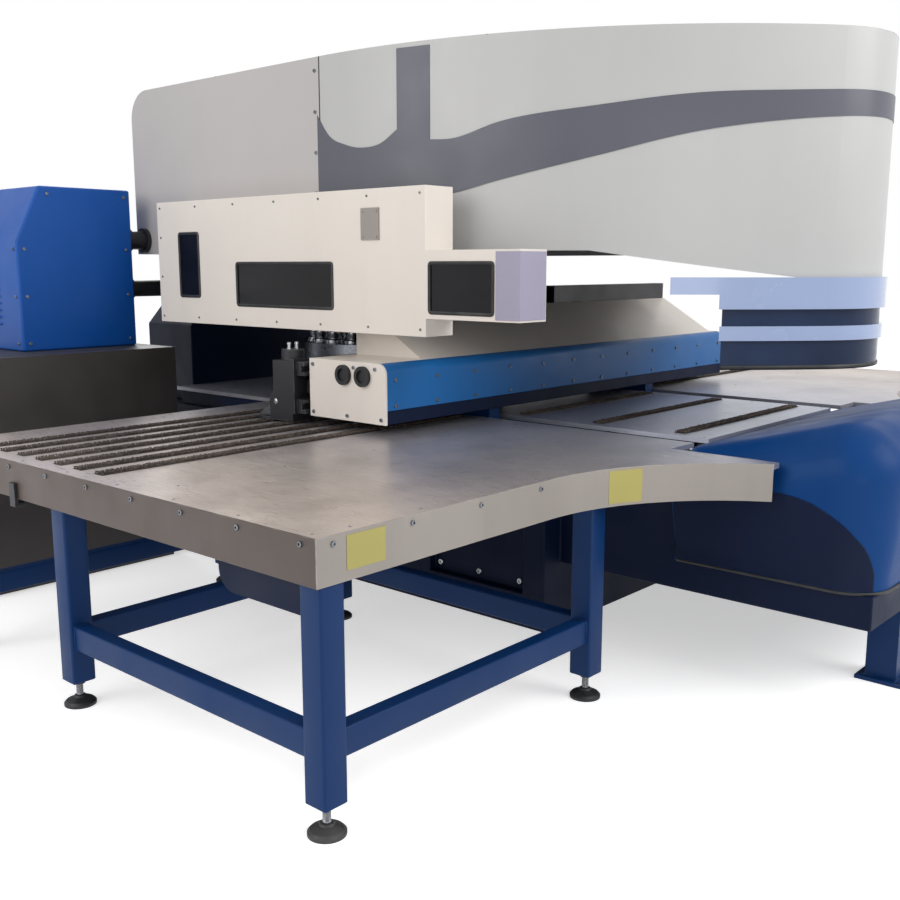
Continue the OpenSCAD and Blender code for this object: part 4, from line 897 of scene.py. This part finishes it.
# two circles of bolts hold the upper turret's disc to its hub
hubBolts = {"count": 16, "radii": (0.13, 0.31), "discHeight": 0.12}
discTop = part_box("upper_turret")[0][2] + hubBolts["discHeight"]
turretY = (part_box("upper_turret")[0][1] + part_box("upper_turret")[1][1]) / 2
boltAngle = np.arange(hubBolts["count"]) * 2 * math.pi / hubBolts["count"]
boltRing = np.stack([np.cos(boltAngle), np.sin(boltAngle), 0 * boltAngle], -1)
screws("upper_hub_bolts", "upper_turret", "large",
       [((0, 0, 1), boltRing * (r, r, 1) + (0, turretY, discTop)) for r in hubBolts["radii"]])


# window gaskets: a closed grid of rounded frames, each row one step round the rubber's section, which is
# given in shares of its width and rise
gasketValues = {"width": 0.014, "rise": 0.005, "corner": 0.012,
                "section": ((-0.6, -0.4), (-0.6, 0.6), (-0.25, 1), (0.15, 1), (0.4, 0.6), (0.4, -0.1))}


def gasket(x, low, high):
    width, rise, corner = (gasketValues[k] for k in ("width", "rise", "corner"))
    middle = (np.asarray(low, float) + high) / 2
    size = np.asarray(high, float) - low
    loops = []
    for grow, out in gasketValues["section"]:
        wider = grow * width
        ring = roundedRing(size[0] + 2 * wider, size[1] + 2 * wider, corner + wider, 4) + middle
        loops.append(np.stack([np.full(len(ring), x - out * rise), ring[:, 0], ring[:, 1]], -1))
    return gridShape(np.array(loops), wrapRows=True, wrapColumns=True)


makePiece("window_gaskets", [gasket(boxLow[0], low[1:], high[1:])
                             for low, high in solidBoxes("housing_windows")], "black_part", "frame")


# weld beads: a circle carried round each rail's end, its radius larger at every other step
weldValues = {"bead": 0.0045, "ripple": 0.0009, "pitch": 0.006, "corner": 0.008}


def weldLoop(centre, axis, width, height):
    ring = roundedRing(width, height, weldValues["corner"], 4)
    ring = np.concatenate([ring, ring[:1]])
    step = np.linalg.norm(np.diff(ring, axis=0), axis=1)
    run = np.concatenate([[0], np.cumsum(step)])
    count = int(run[-1] / weldValues["pitch"]) * 2
    at = np.arange(count) * run[-1] / count
    line = np.stack([np.interp(at, run, ring[:, k]) for k in range(2)], -1)
    out = line / np.linalg.norm(line, axis=1)[:, None]
    bead = weldValues["bead"] + weldValues["ripple"] * (np.arange(count) % 2)
    angle = np.arange(6) * math.pi / 3
    u, v = [k for k in range(3) if k != axis]
    points = np.zeros((count, 6, 3))
    points[..., u] = line[:, :1] + out[:, :1] * bead[:, None] * np.cos(angle)
    points[..., v] = line[:, 1:] + out[:, 1:] * bead[:, None] * np.cos(angle)
    points[..., axis] = bead[:, None] * np.sin(angle)
    return gridShape(points + np.asarray(centre, float), wrapRows=True, wrapColumns=True)


# a bead at both ends of each rail
def railWelds(boxes):
    loops = []
    for low, high in boxes:
        axis = int(np.argmax(high - low))
        u, v = [k for k in range(3) if k != axis]
        centre = (low + high) / 2
        for end in (low[axis], high[axis]):
            centre[axis] = end
            loops.append(weldLoop(centre.copy(), axis, (high - low)[u], (high - low)[v]))
    return loops


makePiece("low_rail_welds", railWelds(lowRails), "leg_navy", "frame", 60)
makePiece("top_rail_welds", railWelds(topRails), "deep_navy", "frame", 60)


# threaded bar: the radius falls and rises again once for each turn that the angle and the height make
threadValues = {"lead": 0.02, "depth": 0.003, "stepsPerTurn": 8, "sides": 24, "flank": 2.4, "floor": 0.7,
                "yLength": 1.8, "yStart": 0.04, "yJournal": 0.006, "xStart": 0.05, "xJournal": 0.004}


def threadedBar(length, radius, lead, depth, sides):
    rows = int(length / lead * threadValues["stepsPerTurn"]) + 1
    height = np.linspace(0, length, rows)[:, None]
    angle = np.arange(sides)[None, :] * 2 * math.pi / sides
    phase = (height / lead - angle / (2 * math.pi)) % 1
    wave = np.clip(np.abs(2 * phase - 1) * threadValues["flank"] - threadValues["floor"], 0, 1)
    fade = np.clip(np.minimum(height, length - height) / lead, 0, 1)
    r = radius - depth * (1 - wave) * fade
    return ringStack(np.stack([r * np.cos(angle), r * np.sin(angle), height + 0 * angle], -1))


yLow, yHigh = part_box("y_screw")
xLow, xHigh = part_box("x_screw")
yCentre = ((yLow[0] + yHigh[0]) / 2, (yLow[2] + yHigh[2]) / 2)
xCentre = ((xLow[1] + xHigh[1]) / 2, (xLow[2] + xHigh[2]) / 2)
yRadius, xRadius = (yHigh[0] - yLow[0]) / 2, (xHigh[1] - xLow[1]) / 2
leadScrew = [threadValues[key] for key in ("lead", "depth", "sides")]
yThread = stamped(threadedBar(threadValues["yLength"], yRadius, *leadScrew),
                  [(yCentre[0], yLow[1] + threadValues["yStart"], yCentre[1])], (0, 1, 0))
yCore = yRadius - threadValues["yJournal"]
yJournals = stamped(turned([(yCore, 0), (yCore, yHigh[1] - yLow[1])]),
                    [(yCentre[0], yLow[1], yCentre[1])], (0, 1, 0))
makePiece("y_screw_thread", [yThread, yJournals], "ground_steel", "y_screw", 30, nodes=("y_screw",))
xThread = stamped(threadedBar(xHigh[0] - xLow[0] - 2 * threadValues["xStart"], xRadius, *leadScrew),
                  [(xLow[0] + threadValues["xStart"], *xCentre)], (1, 0, 0))
xCore = xRadius - threadValues["xJournal"]
xJournals = stamped(turned([(xCore, 0), (xCore, xHigh[0] - xLow[0])]),
                    [(xLow[0], *xCentre)], (1, 0, 0))
makePiece("x_screw_thread", [xThread, xJournals], "ground_steel", "x_screw", 30, nodes=("x_screw",))

footValues = {"length": 0.042, "radius": 0.0128, "lead": 0.0035, "depth": 0.0011, "sides": 16,
              "bottom": 0.0395}
footThread = threadedBar(*[footValues[key] for key in ("length", "radius", "lead", "depth", "sides")])
footPlaces = [((low[0] + high[0]) / 2, (low[1] + high[1]) / 2, footValues["bottom"])
              for low, high in solidBoxes("levelling_feet")]
makePiece("foot_threads", [stamped(footThread, footPlaces, (0, 0, 1))], "ground_steel", "frame", 30)


# punch springs: a round wire carried along a helix, whose angle and height grow together
springValues = {"coil": 0.034, "wire": 0.003, "turns": 5, "low": 0.026, "high": 0.056, "stepsPerTurn": 16}


def coilSpring():
    t = np.linspace(0, 1, springValues["turns"] * springValues["stepsPerTurn"])[:, None]
    angle = t * springValues["turns"] * 2 * math.pi
    ring = np.arange(6)[None, :] * math.pi / 3
    r = springValues["coil"] + springValues["wire"] * np.cos(ring)
    z = springValues["low"] + (springValues["high"] - springValues["low"]) * t
    return ringStack(np.stack([r * np.cos(angle), r * np.sin(angle),
                               z + springValues["wire"] * np.sin(ring)], -1))


punchBoxes = solidBoxes("punch_holders")
springPlaces = [((low[0] + high[0]) / 2, (low[1] + high[1]) / 2, discTop) for low, high in punchBoxes]
makePiece("punch_springs", [stamped(coilSpring(), springPlaces, (0, 0, 1))], "tool_steel",
          "upper_turret", 60)


# louvres: pressed hoods, each one a half ellipse that swells and fades along its length, not quite to a
# point, with its crown made blunter by a power
louvreValues = {"length": 0.2, "height": 0.022, "rise": 0.011, "pitch": 0.036, "fade": 0.98, "blunt": 0.7,
                "steps": 14, "arcSteps": 9}


def louvre(direction):
    along = np.linspace(-1, 1, louvreValues["steps"])[:, None]
    across = np.linspace(0, math.pi, louvreValues["arcSteps"])[None, :]
    swell = np.sqrt(1 - louvreValues["fade"] * along ** 2)
    flat = np.stack([louvreValues["length"] / 2 * along + 0 * across,
                     -louvreValues["height"] / 2 * swell * np.cos(across),
                     louvreValues["rise"] * swell * np.sin(across) ** louvreValues["blunt"]], -1)
    x, z, out = flat[..., 0], flat[..., 1], flat[..., 2]
    facing = {"x": (direction[1] * out, x, z), "y": (x, direction[1] * out, z)}[direction[0]]
    return ringStack(np.stack(facing, -1))


# a column of louvres about a point of the wall
def louvreBank(direction, centre, count):
    z = (np.arange(count) - (count - 1) / 2) * louvreValues["pitch"]
    return stamped(louvre(direction), np.asarray(centre, float) + np.stack([0 * z, 0 * z, z], -1),
                   (0, 0, 1))


bankValues = {"sidePlace": (1.975, 1.45), "sideCount": 9, "rearXs": (-1.83, -1.55), "rearZ": 1.5,
              "rearCount": 11, "cabinetWidth": 1.15, "cabinetYs": (1.62, 1.9),
              "cabinetZs": (0.3, 0.92), "cabinetCount": 8}
makePiece("hood_louvres",
          [louvreBank(("x", -1), (hoodLow[0], *bankValues["sidePlace"]), bankValues["sideCount"])]
          + [louvreBank(("y", 1), (x, hoodHigh[1], bankValues["rearZ"]), bankValues["rearCount"])
             for x in bankValues["rearXs"]], "hood_blue", "frame", 50)
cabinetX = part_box("cabinet")[1][0] - bankValues["cabinetWidth"]
makePiece("cabinet_louvres",
          [louvreBank(("x", -1), (cabinetX, y, z), bankValues["cabinetCount"])
           for y in bankValues["cabinetYs"] for z in bankValues["cabinetZs"]],
          "cabinet_dark", "frame", 50)


# casing seam: a thin dark strip down both walls where the two sections meet, let into the wall
seamValues = {"width": 0.008, "deep": 0.002, "proud": 0.0004, "lower": 1.674, "gap": 0.002}


def seamStrip(side):
    deep, wide, proud = seamValues["deep"], seamValues["width"] / 2, seamValues["proud"]
    x = side * wallX + side * (proud - deep)
    return roundedBar((x - deep, seamY - wide, seamValues["lower"]),
                      (x + deep, seamY + wide, casingHigh[2] - seamValues["gap"]), 2, proud, 2)


makePiece("casing_seam", [seamStrip(side) for side in (-1, 1)], "black_part", "frame")


# plan of the casing's bow as a line: left sweep, round bow, right sweep, all of them arcs; a sweep leaves
# the straight wall at tangentY, and the bow's circle touches it from within
bowValues = {"tangentY": 0.255, "bowRadius": 0.4, "meetY": 1.98, "edgeShare": 0.45}


def bowLine(yEnd, out, steps=40):
    half, tangentY, bowRadius = wallX, bowValues["tangentY"], bowValues["bowRadius"]
    radius = ((bowValues["meetY"] + tangentY) ** 2 + half ** 2) / (2 * half)
    swing = radius - half
    bowY = tangentY - math.sqrt((radius - bowRadius) ** 2 - swing ** 2)
    start = math.asin((tangentY - yEnd) / (radius + out))
    stop = math.atan2(tangentY - bowY, swing)
    sweep = np.linspace(start, stop, steps)
    left = np.stack([swing - (radius + out) * np.cos(sweep),
                     tangentY - (radius + out) * np.sin(sweep)], -1)
    noseSweep = np.linspace(stop, math.pi - stop, steps)[1:-1]
    bow = np.stack([-(bowRadius + out) * np.cos(noseSweep),
                    bowY - (bowRadius + out) * np.sin(noseSweep)], -1)
    right = left[::-1] * (-1, 1)
    return np.concatenate([left, bow, right])


# strip round the bow at one height, with rounded edges
def bowStrip(yEnd, out, z, width, height):
    line = bowLine(yEnd, out)
    path = np.concatenate([line, np.full((len(line), 1), z)], 1)
    return carried(path, roundedRing(width, height, min(width, height) * bowValues["edgeShare"], 4))


# stripe: a thin band on the wall between two smooth heights, with a bar that rises to the roof's edge
stripeValues = {"proud": 0.003, "sink": 0.001, "barRear": -0.205, "barFront": -0.368, "barTop": 2.53,
                "rearEnd": 0.27, "rearSteps": 70, "barSteps": 10, "frontSteps": 120}
# knots of its edges, each one a place along the machine and a height
stripeKnots = {
    "low": [(0.27, 1.935), (-0.1, 1.918), (-0.46, 1.912), (-0.68, 1.963), (-1.06, 2.054), (-1.39, 2.142),
            (-1.685, 2.19), (-1.96, 2.216)],
    "rear": [(0.27, 2.29), (0.2, 2.2), (0.095, 2.149), (-0.026, 2.128), (-0.12, 2.142), (-0.205, 2.194)],
    "front": [(-0.368, 2.142), (-0.462, 2.14), (-0.679, 2.2), (-1.056, 2.25), (-1.385, 2.289),
              (-1.681, 2.301), (-1.96, 2.314)],
}


# a point of the left wall's sweep: an arc about a centre on the far side of the machine
def wallPoints(y, out):
    tangentY = bowValues["tangentY"]
    radius = ((bowValues["meetY"] + tangentY) ** 2 + wallX ** 2) / (2 * wallX)
    return np.stack([radius - wallX - np.sqrt((radius + out) ** 2 - (tangentY - y) ** 2), y], -1)


# four lines round the wall make the band: both edges, outside and inside
def stripeBand():
    ends = stripeValues
    rearY = np.linspace(ends["rearEnd"], ends["barRear"], ends["rearSteps"])
    barY = np.linspace(ends["barRear"], ends["barFront"], ends["barSteps"])
    lines = []
    for out in (ends["proud"], -ends["sink"]):
        left = np.concatenate([wallPoints(rearY, out), wallPoints(barY, out)])
        front = bowLine(ends["barFront"], out, ends["frontSteps"])
        lines.append(np.concatenate([left, front, left[::-1] * (-1, 1)]))
    y = lines[0][:, 1]
    low = smoothLine(stripeKnots["low"], y)
    side = np.concatenate([smoothLine(stripeKnots["rear"], rearY), np.full(len(barY), ends["barTop"])])
    high = np.concatenate([side, smoothLine(stripeKnots["front"], front[:, 1]), side[::-1]])
    outer, inner = lines
    corners = [(outer, low), (outer, high), (inner, high), (inner, low)]
    return ringStack(np.stack([np.concatenate([line, z[:, None]], 1) for line, z in corners], 1))


makePiece("stripe_band", [stripeBand()], "stripe_slate", "frame", 40, nodes=("casing_stripe",))

# rubber rim under the pane
rimValues = {"inwards": 0.003, "up": 0.008, "width": 0.016, "height": 0.02}
paneLow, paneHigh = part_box("visor_pane")
makePiece("pane_rim", [bowStrip(paneHigh[1], -rimValues["inwards"], paneLow[2] + rimValues["up"],
                                rimValues["width"], rimValues["height"])], "black_part", "frame", 60)


# front housing's foot: a dark rubber strip carried round its plan, with a quarter circle at each corner
stripValues = {"rearGap": 0.01, "out": 0.002, "up": 0.004, "size": 0.012, "corner": 0.005, "steps": 12}


def housingFoot():
    half, frontY, rearY = housingHalf, housingFrontY, housingHigh[1] - stripValues["rearGap"]
    turn = np.linspace(0, math.pi / 2, stripValues["steps"])
    r = housingValues["footRadius"] + stripValues["out"]
    left = np.stack([-half - r * np.cos(turn), frontY - r * np.sin(turn)], -1)
    right = left[::-1] * (-1, 1)
    line = np.concatenate([[(left[0][0], rearY)], left, right, [(right[-1][0], rearY)]])
    path = np.concatenate([line, np.full((len(line), 1), housingLow[2] + stripValues["up"])], 1)
    return carried(path, roundedRing(stripValues["size"], stripValues["size"], stripValues["corner"], 3))


makePiece("housing_foot_strip", [housingFoot()], "black_part", "frame", 60)


# jaw pins: a domed washer on both ends of each pin, and two round fittings on each clamp's cap
pinValues = {
    "washer": [(0.013, 0), (0.013, 0.0022), (0.0105, 0.0036), (0.004, 0.0042)],
    "fitting": [(0.011, 0), (0.011, 0.006), (0.0075, 0.008), (0.0075, 0.02), (0.01, 0.022),
                (0.01, 0.03), (0.006, 0.033)],
    "fittingY": 0.208, "fittingXs": (-0.022, 0.022),
}
pinBoxes = solidBoxes("jaw_pins")
washer, fitting = turned(pinValues["washer"], 20), turned(pinValues["fitting"], 16)
washers = []
for low, high in pinBoxes:
    y, z = (low[1] + high[1]) / 2, (low[2] + high[2]) / 2
    washers.append(stamped(washer, [(low[0], y, z)], (-1, 0, 0)))
    washers.append(stamped(washer, [(high[0], y, z)], (1, 0, 0)))
makePiece("pin_washers", washers, "ground_steel", "carriage", 40)
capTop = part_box("clamp_bodies")[1][2]
capPlaces = [((low[0] + high[0]) / 2 + aside, pinValues["fittingY"], capTop)
             for low, high in pinBoxes for aside in pinValues["fittingXs"]]
makePiece("clamp_fittings", [stamped(fitting, capPlaces, (0, 0, 1))], "ground_steel", "carriage", 40)
print("pieces made")


# light and stage

lightValues = {
    "key": {"place": (1.0, -7.5, 5.5), "size": 5.0, "power": 375},
    "low": {"place": (-6.5, -6.5, 1.2), "size": 3.5, "power": 60},
    "fill": {"place": (-8.0, 1.0, 4.5), "size": 5.0, "power": 215},
    "back": {"place": (3.0, 8.0, 6.0), "size": 6.0, "power": 300},
}
lightGoal = (0, 0, 1.0)  # the middle of the machine
for lampName, lamp in lightValues.items():
    data = bpy.data.lights.new(lampName, "AREA")
    data.size = lamp["size"]
    data.energy = lamp["power"]
    light = bpy.data.objects.new(lampName, data)
    light.location = lamp["place"]
    x, y, z = (goal - start for goal, start in zip(lightGoal, lamp["place"]))
    light.rotation_euler = (math.atan2(math.hypot(x, y), -z), 0, math.atan2(x, -y) + math.pi)
    scene.collection.objects.link(light)

worldValues = {"strength": 0.54}
world = bpy.data.worlds.new("studio")
scene.world = world
world.use_nodes = True
sky = world.node_tree
skyShader = sky.nodes["Background"]
skyShader.inputs["Color"].default_value = (1, 1, 1, 1)
rays = sky.nodes.new("ShaderNodeLightPath")


# one where any of the three rays looks, nought elsewhere
def seenDirectly(tree, path):
    total = path.outputs["Is Camera Ray"]
    for other in ("Is Glossy Ray", "Is Transmission Ray"):
        total = combined(tree, "MAXIMUM", total, path.outputs[other])
    return total


worldLevel = span(sky, seenDirectly(sky, rays), worldValues["strength"], 1.0, 0, 1)
sky.links.new(worldLevel, skyShader.inputs["Strength"])

floorValues = {"size": 60.0, "colour": "f2f2f2", "roughness": 0.9, "glow": 0.5}
floorMesh = bpy.data.meshes.new("floor")
reach = floorValues["size"]
floorMesh.from_pydata([(-reach, -reach, 0), (reach, -reach, 0), (reach, reach, 0), (-reach, reach, 0)],
                      [], [(0, 1, 2, 3)])
floor = bpy.data.objects.new("floor", floorMesh)
scene.collection.objects.link(floor)
floorFinish = bpy.data.materials.new("floorPaint")
floorFinish.use_nodes = True
floorTree = floorFinish.node_tree
floorShader = floorTree.nodes["Principled BSDF"]
floorShader.inputs["Base Color"].default_value = (*tint(floorValues["colour"]), 1)
floorShader.inputs["Roughness"].default_value = floorValues["roughness"]
floorShader.inputs["Emission Color"].default_value = (1, 1, 1, 1)
floorPath = floorTree.nodes.new("ShaderNodeLightPath")
floorGlow = span(floorTree, seenDirectly(floorTree, floorPath), 0, floorValues["glow"], 0, 1)
floorTree.links.new(floorGlow, floorShader.inputs["Emission Strength"])
floorMesh.materials.append(floorFinish)
print("light and floor made")

scene.view_settings.view_transform = "Standard"
